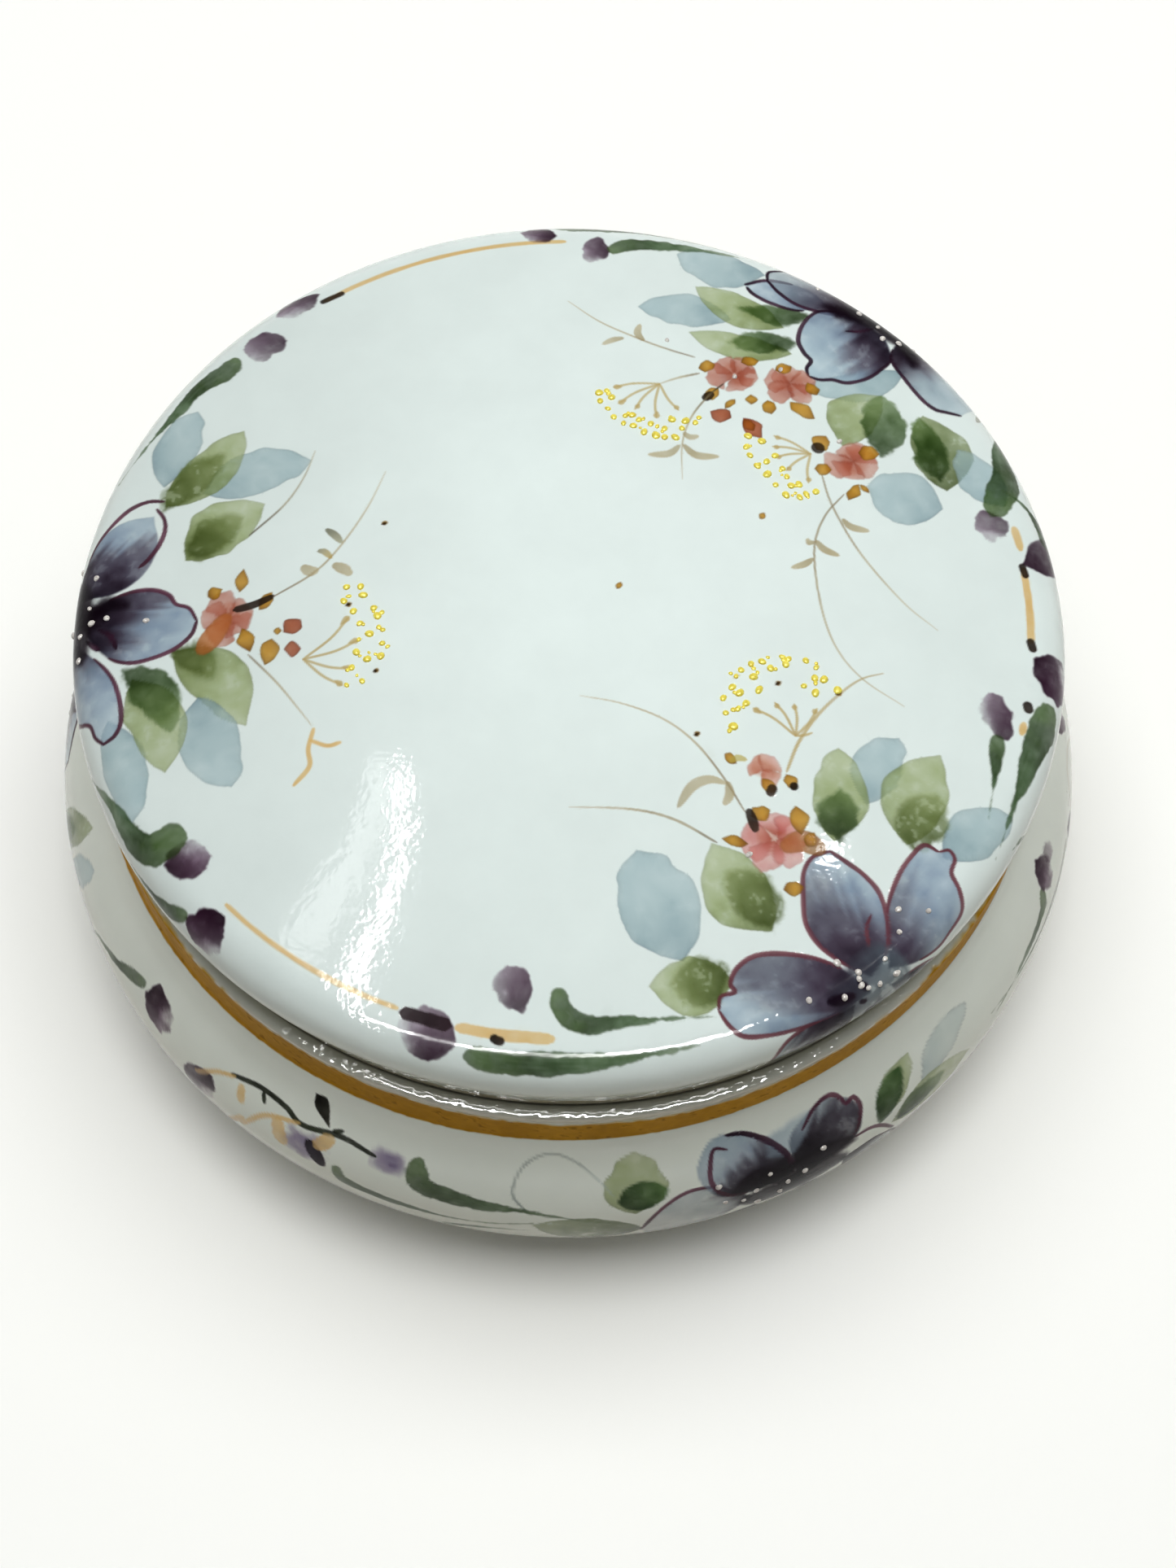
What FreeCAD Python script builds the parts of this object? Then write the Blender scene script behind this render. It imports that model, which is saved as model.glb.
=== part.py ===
import FreeCAD, Part
import math
import os

# Round lidded trinket box in glazed porcelain: a squat bowl-shaped base on a foot ring, and a
# loose cap lid that drops over an upstanding collar and rests on the ledge around it.
# Millimetres, +Z up, the axis of the box on Z, z = 0 on the plane that the foot ring stands on.
# A place on a section is a pair: its radius from the axis and its height.

# Lid
lidRadius = 50.0        # widest, halfway down the rolled shoulder
shoulderRadius = 4.0    # roll from the top of the lid to its side
domeRise = 3.6          # crown of the lid above the top of the roll
lidWall = 3.0
lidDepth = 12.2         # top of the roll down to the seat
rimTuck = 1.9           # how far the side draws in on its way down to the rim
rimRound = 0.5          # fired edges of the rim

# Base
baseHeight = 32.6       # the ledge that carries the lid, above the table
ledgeShow = 1.5         # ledge left in sight around the rim of the lid
ledgeRound = 0.9        # outer edge of the ledge
neckHeight = 5.6        # ledge down to where the wall starts to flare
bellySwell = 6.1        # belly beyond the neck
flareRound = 3.0        # hollow curve between the neck and the belly
bowlLift = 3.1          # lowest line of the belly above the table
baseWall = 3.1
galleryRound = 1.6      # hollow corner under the ledge, inside

# Collar that keeps the lid in place
collarClearance = 0.7   # radial play between the collar and the lid
collarWidth = 2.2
collarRise = 3.8        # above the ledge
collarRoot = 0.5        # hollow corner where the collar stands on the ledge

# Foot ring
footInset = 8.6         # outside of the foot in from the neck
footWidth = 2.4         # of the face that it stands on
footDraft = 0.9         # how far the foot spreads where it joins the bowl
footFall = 0.5          # the bowl's last fall from its lowest line to the foot
footRound = 0.5
footRecess = 2.3        # underside of the bowl inside the ring, above the table
underCrown = 0.7        # extra rise of that underside at its middle

# Places that several pieces share
seatHeight = baseHeight
rimRadius = lidRadius - rimTuck
neckRadius = rimRadius + ledgeShow


def place(spot):
    return FreeCAD.Vector(spot[0], 0, spot[1])


def line(start, end):
    return Part.LineSegment(place(start), place(end)).toShape()


def onCircle(centre, radius, degrees):
    angle = math.radians(degrees)
    return (centre[0] + radius * math.cos(angle), centre[1] + radius * math.sin(angle))


def arc(centre, radius, fromDegrees, toDegrees):
    angles = (fromDegrees, (fromDegrees + toDegrees) / 2, toDegrees)
    return Part.Arc(*[place(onCircle(centre, radius, angle)) for angle in angles]).toShape()


def tangentDegrees(centre, radius, spot):
    # where a line from a spot below the circle touches its outer side
    across, up = spot[0] - centre[0], spot[1] - centre[1]
    touch = math.acos(radius / math.hypot(across, up))
    return math.degrees(math.atan2(up, across) + touch)


def roundCorner(before, corner, after, radius):
    # start, middle and end of the arc that rounds a corner between two straight runs
    def towards(spot):
        reach = math.dist(spot, corner)
        return ((spot[0] - corner[0]) / reach, (spot[1] - corner[1]) / reach)

    a, b = towards(before), towards(after)
    half = math.acos(a[0] * b[0] + a[1] * b[1]) / 2
    cut = radius / math.tan(half)
    inward = radius / math.sin(half) - radius
    middle = ((a[0] + b[0]) / (2 * math.cos(half)), (a[1] + b[1]) / (2 * math.cos(half)))
    return [(corner[0] + way[0] * step, corner[1] + way[1] * step)
            for way, step in ((a, cut), (middle, inward), (b, cut))]


def roundedPath(start, corners, end):
    # straight runs from start to end, with each corner given as its place and its rounding
    spots = [start] + [spot for spot, radius in corners] + [end]
    edges = []
    last = start
    for number, (corner, radius) in enumerate(corners):
        entry, middle, leave = roundCorner(spots[number], corner, spots[number + 2], radius)
        edges.append(line(last, entry))
        edges.append(Part.Arc(place(entry), place(middle), place(leave)).toShape())
        last = leave
    return edges + [line(last, end)]


def turn(edges):
    # the closed section, turned once about the axis
    section = Part.Face(Part.Wire(Part.__sortEdges__(edges)))
    return section.revolve(FreeCAD.Vector(0, 0, 0), FreeCAD.Vector(0, 0, 1), 360)


def lidSide():
    # centre of the shoulder roll, the angle where it runs into the side, and the side's lean
    centre = (lidRadius - shoulderRadius, seatHeight + lidDepth - shoulderRadius)
    side = tangentDegrees(centre, shoulderRadius, (rimRadius, seatHeight))
    return centre, side


def rimInside():
    # radius of the lid's inner edge at the seat, which the collar fits inside
    centre, side = lidSide()
    return rimRadius - lidWall / math.cos(math.radians(side))


def lid():
    # a domed shell with a rolled shoulder; the side draws in to a flat seat
    roll, side = lidSide()
    reach = (roll[0] ** 2 + domeRise ** 2) / (2 * domeRise)   # dome centre to roll centre
    dome = (0, roll[1] + domeRise - reach)
    domeEdge = math.degrees(math.acos(roll[0] / reach))       # where dome and roll are tangent
    outside, inside = shoulderRadius, shoulderRadius - lidWall
    edges = [arc(dome, reach + outside, 90, domeEdge),
             arc(roll, outside, domeEdge, side)]
    edges += roundedPath(onCircle(roll, outside, side),
                         [((rimRadius, seatHeight), rimRound),
                          ((rimInside(), seatHeight), rimRound)],
                         onCircle(roll, inside, side))
    edges += [arc(roll, inside, side, domeEdge),
              arc(dome, reach + inside, domeEdge, 90),
              line((0, dome[1] + reach + inside), (0, dome[1] + reach + outside))]
    return turn(edges)


def bellyCircle(flare):
    # the one circle that touches the belly's widest and lowest lines and meets the flare smoothly
    drop = flare[1] - bowlLift
    radius = bellySwell + drop - math.sqrt(2 * bellySwell * (drop + flareRound))
    centre = (neckRadius + bellySwell - radius, bowlLift + radius)
    meet = math.degrees(math.atan2(flare[1] - centre[1], flare[0] - centre[0]))
    return centre, radius, meet


def base():
    # one wall from the foot ring round the belly and up to a ledge with a collar inside it
    flare = (neckRadius + flareRound, seatHeight - neckHeight)
    belly, bellyRadius, meet = bellyCircle(flare)
    collarOutside = rimInside() - collarClearance
    collarInside = collarOutside - collarWidth
    collarTop = (collarOutside - collarWidth / 2, seatHeight + collarRise - collarWidth / 2)
    footRadius = neckRadius - footInset
    footJoin = (footRadius + footDraft, bowlLift - footFall)
    under = tangentDegrees(belly, bellyRadius, footJoin)
    recessRadius = footRadius - footWidth - footDraft / 2
    crown = (recessRadius ** 2 + underCrown ** 2) / (2 * underCrown)
    crownCentre = (0, footRecess + underCrown - crown)
    crownEdge = math.degrees(math.acos(recessRadius / crown))
    floor = belly[1] - bellyRadius + baseWall
    galleryHeight = seatHeight - baseWall
    neckInside = neckRadius - baseWall

    edges = roundedPath((collarOutside, collarTop[1]),
                        [((collarOutside, seatHeight), collarRoot),
                         ((neckRadius, seatHeight), ledgeRound)],
                        (neckRadius, flare[1]))
    edges += [arc(flare, flareRound, 180, 180 + meet),
              arc(belly, bellyRadius, meet, under)]
    edges += roundedPath(onCircle(belly, bellyRadius, under),
                         [(footJoin, footRound),
                          ((footRadius, 0), footRound),
                          ((footRadius - footWidth, 0), footRound)],
                         (recessRadius, footRecess))
    edges += [arc(crownCentre, crown, crownEdge, 90),
              line((0, footRecess + underCrown), (0, floor)),
              line((0, floor), (belly[0], floor)),
              arc(belly, bellyRadius - baseWall, -90, meet),
              arc(flare, flareRound + baseWall, 180 + meet, 180)]
    edges += roundedPath((neckInside, flare[1]),
                         [((neckInside, galleryHeight), galleryRound),
                          ((collarInside, galleryHeight), collarWidth / 2)],
                         (collarInside, collarTop[1]))
    edges.append(arc(collarTop, collarWidth / 2, 180, 0))
    return turn(edges)


def main():
    os.makedirs("parts", exist_ok=True)
    for name, shape in (("base", base()), ("lid", lid())):
        shape.exportStep("parts/" + name + ".step")
        box = shape.optimalBoundingBox(False)
        print(name, shape.ShapeType, shape.isValid(), "solids", len(shape.Solids),
              "volume", round(shape.Volume, 1), "radius", round(box.XMax, 2),
              "height", round(box.ZMin, 3), round(box.ZMax, 3))


main()
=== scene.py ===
import math
import bpy
import numpy as np
from mathutils import Matrix, Vector


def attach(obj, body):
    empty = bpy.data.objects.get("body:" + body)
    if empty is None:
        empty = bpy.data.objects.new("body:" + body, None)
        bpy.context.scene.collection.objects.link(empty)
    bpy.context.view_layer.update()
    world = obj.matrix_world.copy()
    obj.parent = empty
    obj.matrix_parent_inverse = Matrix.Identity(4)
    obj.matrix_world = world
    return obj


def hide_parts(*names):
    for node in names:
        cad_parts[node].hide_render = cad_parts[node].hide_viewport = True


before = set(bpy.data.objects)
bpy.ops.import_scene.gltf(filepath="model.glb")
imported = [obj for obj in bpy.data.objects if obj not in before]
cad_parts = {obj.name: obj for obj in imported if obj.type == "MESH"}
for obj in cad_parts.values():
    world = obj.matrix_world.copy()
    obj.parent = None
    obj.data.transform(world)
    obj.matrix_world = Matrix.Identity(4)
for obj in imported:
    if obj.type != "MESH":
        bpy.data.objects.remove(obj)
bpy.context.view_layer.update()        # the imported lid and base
mm = 0.001
random = np.random.default_rng(11)

# The outlines of the lid and the base, in millimetres.
form = {
    "lidRadius": 50.0, "shoulderRadius": 4.0, "domeRise": 3.6, "lidWall": 3.0, "lidDepth": 12.2,
    "rimTuck": 1.9, "rimRound": 0.5, "baseHeight": 32.6, "ledgeShow": 1.5, "ledgeBevel": 0.55,
    "ledgeFall": 0.32, "ledgeRound": 1.7, "brimRound": 0.25,
    "neckHeight": 5.6, "bellySwell": 6.1, "flareRound": 3.0, "bowlLift": 3.1, "baseWall": 3.1,
    "galleryRound": 1.6, "collarClearance": 0.7, "collarWidth": 2.2, "collarRise": 3.8,
    "collarRoot": 0.5, "footInset": 8.6, "footWidth": 2.4, "footDraft": 0.9, "footFall": 0.5,
    "footRound": 0.5, "footRecess": 2.3, "underCrown": 0.7,
}


def onCircle(centre, radius, degrees):
    angle = math.radians(degrees)
    return (centre[0] + radius * math.cos(angle), centre[1] + radius * math.sin(angle))


def arc(centre, radius, start, end):
    count = max(3, int(abs(math.radians(end - start)) * radius / 0.05) + 1)
    return [onCircle(centre, radius, degrees) for degrees in np.linspace(start, end, count)]


def touchDegrees(centre, radius, spot):
    # where a line from a spot below the circle touches its outer side
    across, up = spot[0] - centre[0], spot[1] - centre[1]
    return math.degrees(math.atan2(up, across) + math.acos(radius / math.hypot(across, up)))


def corner(before, spot, after, radius):
    # the arc that rounds a corner between two straight runs
    spot = np.array(spot, float)
    a = np.array(before) - spot
    b = np.array(after) - spot
    a = a / np.linalg.norm(a)
    b = b / np.linalg.norm(b)
    half = math.acos(float(a @ b)) / 2
    middle = spot + (a + b) / np.linalg.norm(a + b) * radius / math.sin(half)
    start = spot + a * radius / math.tan(half) - middle
    end = spot + b * radius / math.tan(half) - middle
    first = math.atan2(start[1], start[0])
    sweep = (math.atan2(end[1], end[0]) - first + math.pi) % (2 * math.pi) - math.pi
    return arc(tuple(middle), radius, math.degrees(first), math.degrees(first + sweep))


class Section:
    # a closed outline as radius and height, measured along its length from the axis
    def __init__(self, spots):
        spots = np.array(spots, float)
        steps = np.hypot(*np.diff(spots, axis=0).T)
        keep = np.concatenate([[True], steps > 1e-6])
        spots = spots[keep]
        length = np.concatenate([[0], np.cumsum(np.hypot(*np.diff(spots, axis=0).T))])
        self.total = float(length[-1])
        self.table = np.linspace(0, self.total, int(self.total / 0.04) + 1)
        self.radius = np.interp(self.table, length, spots[:, 0])
        self.height = np.interp(self.table, length, spots[:, 1])
        out = np.gradient(self.radius)
        up = np.gradient(self.height)
        size = np.hypot(out, up)
        self.normalOut = -up / size
        self.normalUp = out / size
        self.spots = spots
        self.length = length

    def at(self, reach):
        return np.interp(reach, self.table, self.radius), np.interp(reach, self.table, self.height)

    def normal(self, reach):
        return (np.interp(reach, self.table, self.normalOut),
                np.interp(reach, self.table, self.normalUp))

    def reachOf(self, spot):
        return float(self.length[np.argmin(np.hypot(*(self.spots - np.array(spot)).T))])


def lidSection(f):
    rim = f["lidRadius"] - f["rimTuck"]
    seat = f["baseHeight"]
    roll = (f["lidRadius"] - f["shoulderRadius"], seat + f["lidDepth"] - f["shoulderRadius"])
    side = touchDegrees(roll, f["shoulderRadius"], (rim, seat))
    reach = (roll[0] ** 2 + f["domeRise"] ** 2) / (2 * f["domeRise"])
    dome = (0, roll[1] + f["domeRise"] - reach)
    edge = math.degrees(math.acos(roll[0] / reach))
    outside, inside = f["shoulderRadius"], f["shoulderRadius"] - f["lidWall"]
    rimInside = rim - f["lidWall"] / math.cos(math.radians(side))
    start, end = onCircle(roll, outside, side), onCircle(roll, inside, side)
    spots = arc(dome, reach + outside, 90, edge) + arc(roll, outside, edge, side)
    spots += corner(start, (rim, seat), (rimInside, seat), f["rimRound"])
    spots += corner((rim, seat), (rimInside, seat), end, f["rimRound"])
    spots += arc(roll, inside, side, edge) + arc(dome, reach + inside, edge, 90)
    return Section(spots), rim, rimInside


def baseSection(f):
    seat = f["baseHeight"]
    rim = f["lidRadius"] - f["rimTuck"]
    neck = rim + f["ledgeShow"]
    flare = (neck + f["flareRound"], seat - f["neckHeight"])
    drop = flare[1] - f["bowlLift"]
    swell = f["bellySwell"]
    belly = swell + drop - math.sqrt(2 * swell * (drop + f["flareRound"]))
    middle = (neck + swell - belly, f["bowlLift"] + belly)
    meet = math.degrees(math.atan2(flare[1] - middle[1], flare[0] - middle[0]))
    collarOut = lidSection(f)[2] - f["collarClearance"]
    collarIn = collarOut - f["collarWidth"]
    collarRound = f["collarWidth"] / 2
    collarTop = (collarOut - collarRound, seat + f["collarRise"] - collarRound)
    foot = neck - f["footInset"]
    join = (foot + f["footDraft"], f["bowlLift"] - f["footFall"])
    under = touchDegrees(middle, belly, join)
    recess = foot - f["footWidth"] - f["footDraft"] / 2
    crown = (recess ** 2 + f["underCrown"] ** 2) / (2 * f["underCrown"])
    crownMiddle = (0, f["footRecess"] + f["underCrown"] - crown)
    crownEdge = math.degrees(math.acos(recess / crown))
    floor = middle[1] - belly + f["baseWall"]
    gallery = seat - f["baseWall"]
    neckIn = neck - f["baseWall"]
    rounding = f["footRound"]

    spots = [(0, floor), (middle[0], floor)]
    spots += arc(middle, belly - f["baseWall"], -90, meet)
    spots += arc(flare, f["flareRound"] + f["baseWall"], 180 + meet, 180)
    spots += corner((neckIn, flare[1]), (neckIn, gallery), (collarIn, gallery), f["galleryRound"])
    spots += corner((neckIn, gallery), (collarIn, gallery), (collarIn, seat), collarRound)
    spots += arc(collarTop, collarRound, 180, 0)
    root = corner((collarOut, collarTop[1]), (collarOut, seat), (neck, seat), f["collarRoot"])
    spots += root
    bevel, low = (neck - f["ledgeBevel"], seat), (neck, seat - f["ledgeFall"])
    spots += corner((collarOut, seat), bevel, low, f["ledgeRound"])
    spots += corner(bevel, low, (neck, flare[1]), f["brimRound"])
    spots += arc(flare, f["flareRound"], 180, 180 + meet) + arc(middle, belly, meet, under)
    spots += corner(onCircle(middle, belly, under), join, (foot, 0), rounding)
    spots += corner(join, (foot, 0), (foot - f["footWidth"], 0), rounding)
    spots += corner((foot, 0), (foot - f["footWidth"], 0), (recess, f["footRecess"]), rounding)
    spots += arc(crownMiddle, crown, crownEdge, 90)
    return Section(spots), root[-1], neck


lidShape, lidRim, lidRimInside = lidSection(form)
baseShape, ledgeStart, neckRadius = baseSection(form)
ledgeReach = baseShape.reachOf(ledgeStart)      # the wall's paint is measured from here
wallScale = 0.9075       # millimetres along the wall for one degree round it, as painted
print("sections done")


# A canvas holds what is painted, in millimetres over the glaze laid flat.
def toLinear(value):
    value = np.asarray(value, float)
    return np.where(value <= 0.04045, value / 12.92, ((value + 0.055) / 1.055) ** 2.4)


def hexParts(text):
    return np.array([int(text[k:k + 2], 16) / 255 for k in (1, 3, 5)])


def smooth(value):
    value = np.clip(value, 0, 1)
    return value * value * (3 - 2 * value)


def cloud(shape, spacing, wrap=False):
    # soft random field, one lump for each spacing cells
    rows, columns = int(shape[0] / spacing) + 3, int(shape[1] / spacing) + 3
    lumps = random.random((rows, columns))
    if wrap:
        lumps[:, -2:] = lumps[:, :2]
    y = np.linspace(0, rows - 2.001, shape[0])
    x = np.linspace(0, columns - 2.001, shape[1])
    j, i = y.astype(int), x.astype(int)
    v, u = smooth(y - j)[:, None], smooth(x - i)[None, :]
    top = lumps[j][:, i] * (1 - u) + lumps[j][:, i + 1] * u
    low = lumps[j + 1][:, i] * (1 - u) + lumps[j + 1][:, i + 1] * u
    return (top * (1 - v) + low * v).astype(np.float32)


class Canvas:
    cell = 0.08

    def __init__(self, low, high, ground):
        self.low = np.array(low, float)
        self.high = np.array(high, float)
        columns, rows = [int(round(n)) for n in (np.array(high) - self.low) / self.cell]
        self.shape = (rows, columns)
        self.colour = np.empty((rows, columns, 3), np.float32)
        self.colour[:] = hexParts(ground)
        self.gilt = np.zeros((rows, columns), np.float32)
        self.relief = np.zeros((rows, columns), np.float32)
        self.fine = cloud(self.shape, 4) * 0.45 + cloud(self.shape, 11) * 0.55
        self.broad = cloud(self.shape, 30) * 0.6 + cloud(self.shape, 12) * 0.4

    def window(self, low, high):
        first = np.floor((np.array(low) - self.low) / self.cell).astype(int)
        last = np.ceil((np.array(high) - self.low) / self.cell).astype(int) + 1
        x0, y0 = np.maximum(first, 0)
        x1, y1 = np.minimum(last, (self.shape[1], self.shape[0]))
        return slice(y0, max(y1, y0)), slice(x0, max(x1, x0))

    def places(self, window):
        x = self.low[0] + (np.arange(window[1].start, window[1].stop) + 0.5) * self.cell
        y = self.low[1] + (np.arange(window[0].start, window[0].stop) + 0.5) * self.cell
        return np.meshgrid(x, y)

    def sample(self, x, y):
        # colour, gilt and relief between the cells
        column = np.clip((x - self.low[0]) / self.cell - 0.5, 0, self.shape[1] - 1.001)
        row = np.clip((y - self.low[1]) / self.cell - 0.5, 0, self.shape[0] - 1.001)
        i, j = column.astype(int), row.astype(int)
        u, v = (column - i)[..., None], (row - j)[..., None]
        stack = self.stack
        top = stack[j, i] * (1 - u) + stack[j, i + 1] * u
        low = stack[j + 1, i] * (1 - u) + stack[j + 1, i + 1] * u
        return top * (1 - v) + low * v

    def close(self):
        self.stack = np.dstack([self.colour, self.gilt, self.relief]).astype(np.float32)


def curve(spots, spacing=0.3):
    # a smooth line through the spots
    spots = np.array(spots, float)
    if len(spots) == 2:
        count = max(2, int(np.hypot(*(spots[1] - spots[0])) / spacing) + 1)
        return spots[0] + (spots[1] - spots[0]) * np.linspace(0, 1, count)[:, None]
    ends = np.vstack([2 * spots[0] - spots[1], spots, 2 * spots[-1] - spots[-2]])
    line = []
    for k in range(len(spots) - 1):
        a, b, c, d = ends[k:k + 4]
        count = max(2, int(np.hypot(*(c - b)) / spacing))
        t = (np.arange(count) / count)[:, None]
        line.append(b + 0.5 * t * (c - a + t * (2 * a - 5 * b + 4 * c - d
                                                + t * (3 * (b - c) + d - a))))
    return np.vstack(line + [spots[-1:]])


def swelling(count, rise, fall):
    # fatness along a stroke: nothing at its ends and one at its widest
    t = np.linspace(0, 1, count)
    peak = rise / (rise + fall)
    return (t ** rise * (1 - t) ** fall) / (peak ** rise * (1 - peak) ** fall)


def along(values, t):
    # a number or a list of them, read at the fraction t
    if np.isscalar(values):
        return np.full_like(t, values)
    return np.interp(t, np.linspace(0, 1, len(values)), values)


def reachInto(canvas, line, half):
    # near a line of that half width: fraction along it, side from -1 to 1 and depth in from the edge
    margin = half.max() + 0.3
    window = canvas.window(line.min(0) - margin, line.max(0) + margin)
    x, y = canvas.places(window)
    t = np.zeros(x.shape)
    side = np.zeros(x.shape)
    depth = np.full(x.shape, -9.0)
    run = 7
    for first in range(0, len(line) - 1, run):
        part = line[first:first + run + 1]
        wide = half[first:first + run + 1]
        edge = wide.max() + 0.3
        inner = canvas.window(part.min(0) - edge, part.max(0) + edge)
        spot = (slice(inner[0].start - window[0].start, inner[0].stop - window[0].start),
                slice(inner[1].start - window[1].start, inner[1].stop - window[1].start))
        px, py = x[spot], y[spot]
        if px.size == 0:
            continue
        for k in range(len(part) - 1):
            ax, ay = part[k]
            bx, by = part[k + 1] - part[k]
            size = bx * bx + by * by + 1e-12
            qx, qy = px - ax, py - ay
            f = np.clip((qx * bx + qy * by) / size, 0, 1)
            away = np.hypot(qx - f * bx, qy - f * by)
            width = wide[k] + (wide[k + 1] - wide[k]) * f
            better = width - away > depth[spot]
            depth[spot] = np.where(better, width - away, depth[spot])
            t[spot] = np.where(better, (first + k + f) / (len(line) - 1), t[spot])
            turned = np.sign(bx * qy - by * qx) * away / np.maximum(width, 0.05)
            side[spot] = np.where(better, turned, side[spot])
    return window, t, side, depth


def insideOf(canvas, left, right):
    # the same measures for a shape between two sides that share their ends
    ring = np.vstack([curve(left), curve(right)[::-1]])
    base, tip = np.array(left[0], float), np.array(left[-1], float)
    window = canvas.window(ring.min(0) - 0.6, ring.max(0) + 0.6)
    x, y = canvas.places(window)
    away = np.full(x.shape, 99.0)
    inside = np.zeros(x.shape, bool)
    for (ax, ay), (bx, by) in zip(ring, np.roll(ring, -1, axis=0)):
        sx, sy = bx - ax, by - ay
        if abs(sy) > 1e-9:
            inside ^= ((ay > y) != (by > y)) & (x < ax + sx * (y - ay) / sy)
        f = np.clip(((x - ax) * sx + (y - ay) * sy) / (sx * sx + sy * sy + 1e-12), 0, 1)
        away = np.minimum(away, np.hypot(x - ax - f * sx, y - ay - f * sy))
    depth = np.where(inside, away, -away)
    way = tip - base
    t = np.clip(((x - base[0]) * way[0] + (y - base[1]) * way[1]) / (way @ way), 0, 1)
    side = ((y - base[1]) * way[0] - (x - base[0]) * way[1]) / np.hypot(*way)
    return window, t, side / max(0.3, abs(side[inside]).max(initial=0.3)), depth


def lay(canvas, reach, shades, alpha=1.0, soft=0.1, pool=0.0, grain=0.15, gilt=0.0, relief=0.0,
        hairs=0.0, wobble=0.12, specks=0.0, mask=1.0):
    # put paint on where reach says; pool darkens its rim and specks are places that it missed
    window, t, side, depth = reach
    if t.size == 0:
        return
    fine, broad = canvas.fine[window], canvas.broad[window]
    depth = depth + (broad - 0.5) * wobble + (fine - 0.5) * wobble * 0.5
    cover = smooth(depth / soft + 0.5) * along(alpha, t) * mask
    cover = cover * (1 - grain * (1.3 * broad + 0.7 * fine))
    if specks:
        cover = cover * (1 - specks * smooth((fine * (0.4 + broad) - 0.62) / 0.12))
    if hairs:
        cover = cover * (1 - hairs * bristles(side) * (0.4 + 0.6 * t))
    if isinstance(shades, str):
        shades = [shades]
    parts = np.array([hexParts(shade) for shade in shades])
    drift = np.clip(t + (broad - 0.5) * 0.5 * min(1, len(shades) - 1), 0, 1)
    paint = np.stack([along(parts[:, k], drift) for k in range(3)], axis=-1)
    if pool:
        paint = paint * (1 - pool * np.exp(-np.maximum(depth, 0) / 0.13))[..., None]
    cover = cover[..., None].astype(np.float32)
    canvas.colour[window] += (paint - canvas.colour[window]) * cover
    canvas.gilt[window] += (gilt - canvas.gilt[window]) * cover[..., 0]
    canvas.relief[window] += (relief - canvas.relief[window]) * cover[..., 0]


def bristles(side, count=9):
    return np.interp(side * count + random.random() * 50, np.arange(80), random.random(80))


def stroke(canvas, line, width, shades, swell=(0.5, 0.5), least=0.0, wobble=0.12, **look):
    # one touch of the brush; width is half its widest, in millimetres
    line = curve(line) if len(line) < 12 else np.array(line)
    half = width * (least + (1 - least) * swelling(len(line), *swell))
    lay(canvas, reachInto(canvas, line, half), shades, wobble=wobble * min(1, width), **look)


def sidesOf(base, tip, width, fatness, bow=0.0, uneven=0.1):
    # two uneven sides of a leaf or a dab; fatness is read evenly from base to tip
    base, tip = np.array(base, float), np.array(tip, float)
    way = tip - base
    across = np.array([-way[1], way[0]])
    steps = len(fatness) + 1
    sides = []
    for sign in (1, -1):
        spots = [base]
        for k, fat in enumerate(fatness):
            t = (k + 1 + (random.random() - 0.5) * 2 * uneven) / steps
            wide = width * fat * (1 + (random.random() - 0.5) * 2 * uneven)
            spots.append(base + way * t + across * (4 * t * (1 - t) * bow + sign * wide / np.hypot(*way)))
        sides.append(spots + [tip])
    return sides


# Brush work: each function is one thing that the painter draws.
beads = {"lidDrops": [], "lidGrains": [], "baseDrops": []}
leafTones = {
    "mist": dict(shades=["#7f9ba3", "#98b3b8", "#a1bbc0"], alpha=[0.92, 0.86, 0.88], pool=0.22),
    "spring": dict(shades=["#66773a", "#859658", "#a0ae79"], alpha=[0.95, 0.88, 0.8], pool=0.24, specks=0.1),
    "sage": dict(shades=["#39471a", "#566634", "#788752"], alpha=[0.96, 0.92, 0.84], pool=0.15, specks=0.25),
    "haze": dict(shades=["#91a6a8", "#a6b9b6", "#b4c4c0"], alpha=[0.75, 0.6, 0.8], pool=0.35),
    "moss": dict(shades=["#142508", "#223a10", "#446026"], alpha=[0.97, 0.95, 0.8], soft=0.5, wobble=1.1),
    "deep": dict(shades=["#081a04", "#102c06", "#295014"], alpha=[0.98, 0.97, 0.92], soft=0.3, wobble=0.5),
    "olive": dict(shades=["#303d12", "#465522", "#67773c"], alpha=[0.95, 0.9, 0.7], soft=0.8, wobble=1.3,
                  specks=0.4),
}
plumInk = ("#3a1a26", "#55283a", "#3c1c28")
blackInk = ("#1b0c18", "#351a2a", "#1b0c18")
maroonInk = ("#5a2b36", "#6f3a42", "#55262f")


def part(line, start, end):
    # a run of a line between two fractions of it
    line = curve(line, 0.15)
    last = len(line) - 1
    return line[int(start * last):max(int(start * last) + 2, int(end * last) + 1)]


def inkLine(canvas, line, width=0.24, ink=plumInk):
    # a pointed brush drawn along a petal, pressed in the middle of its run
    stroke(canvas, line, width, list(ink), swell=(0.4, 0.3), alpha=[0.95, 0.88, 0.97], soft=0.09,
           least=0.3, grain=0.08, relief=0.5, wobble=0.3)


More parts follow.
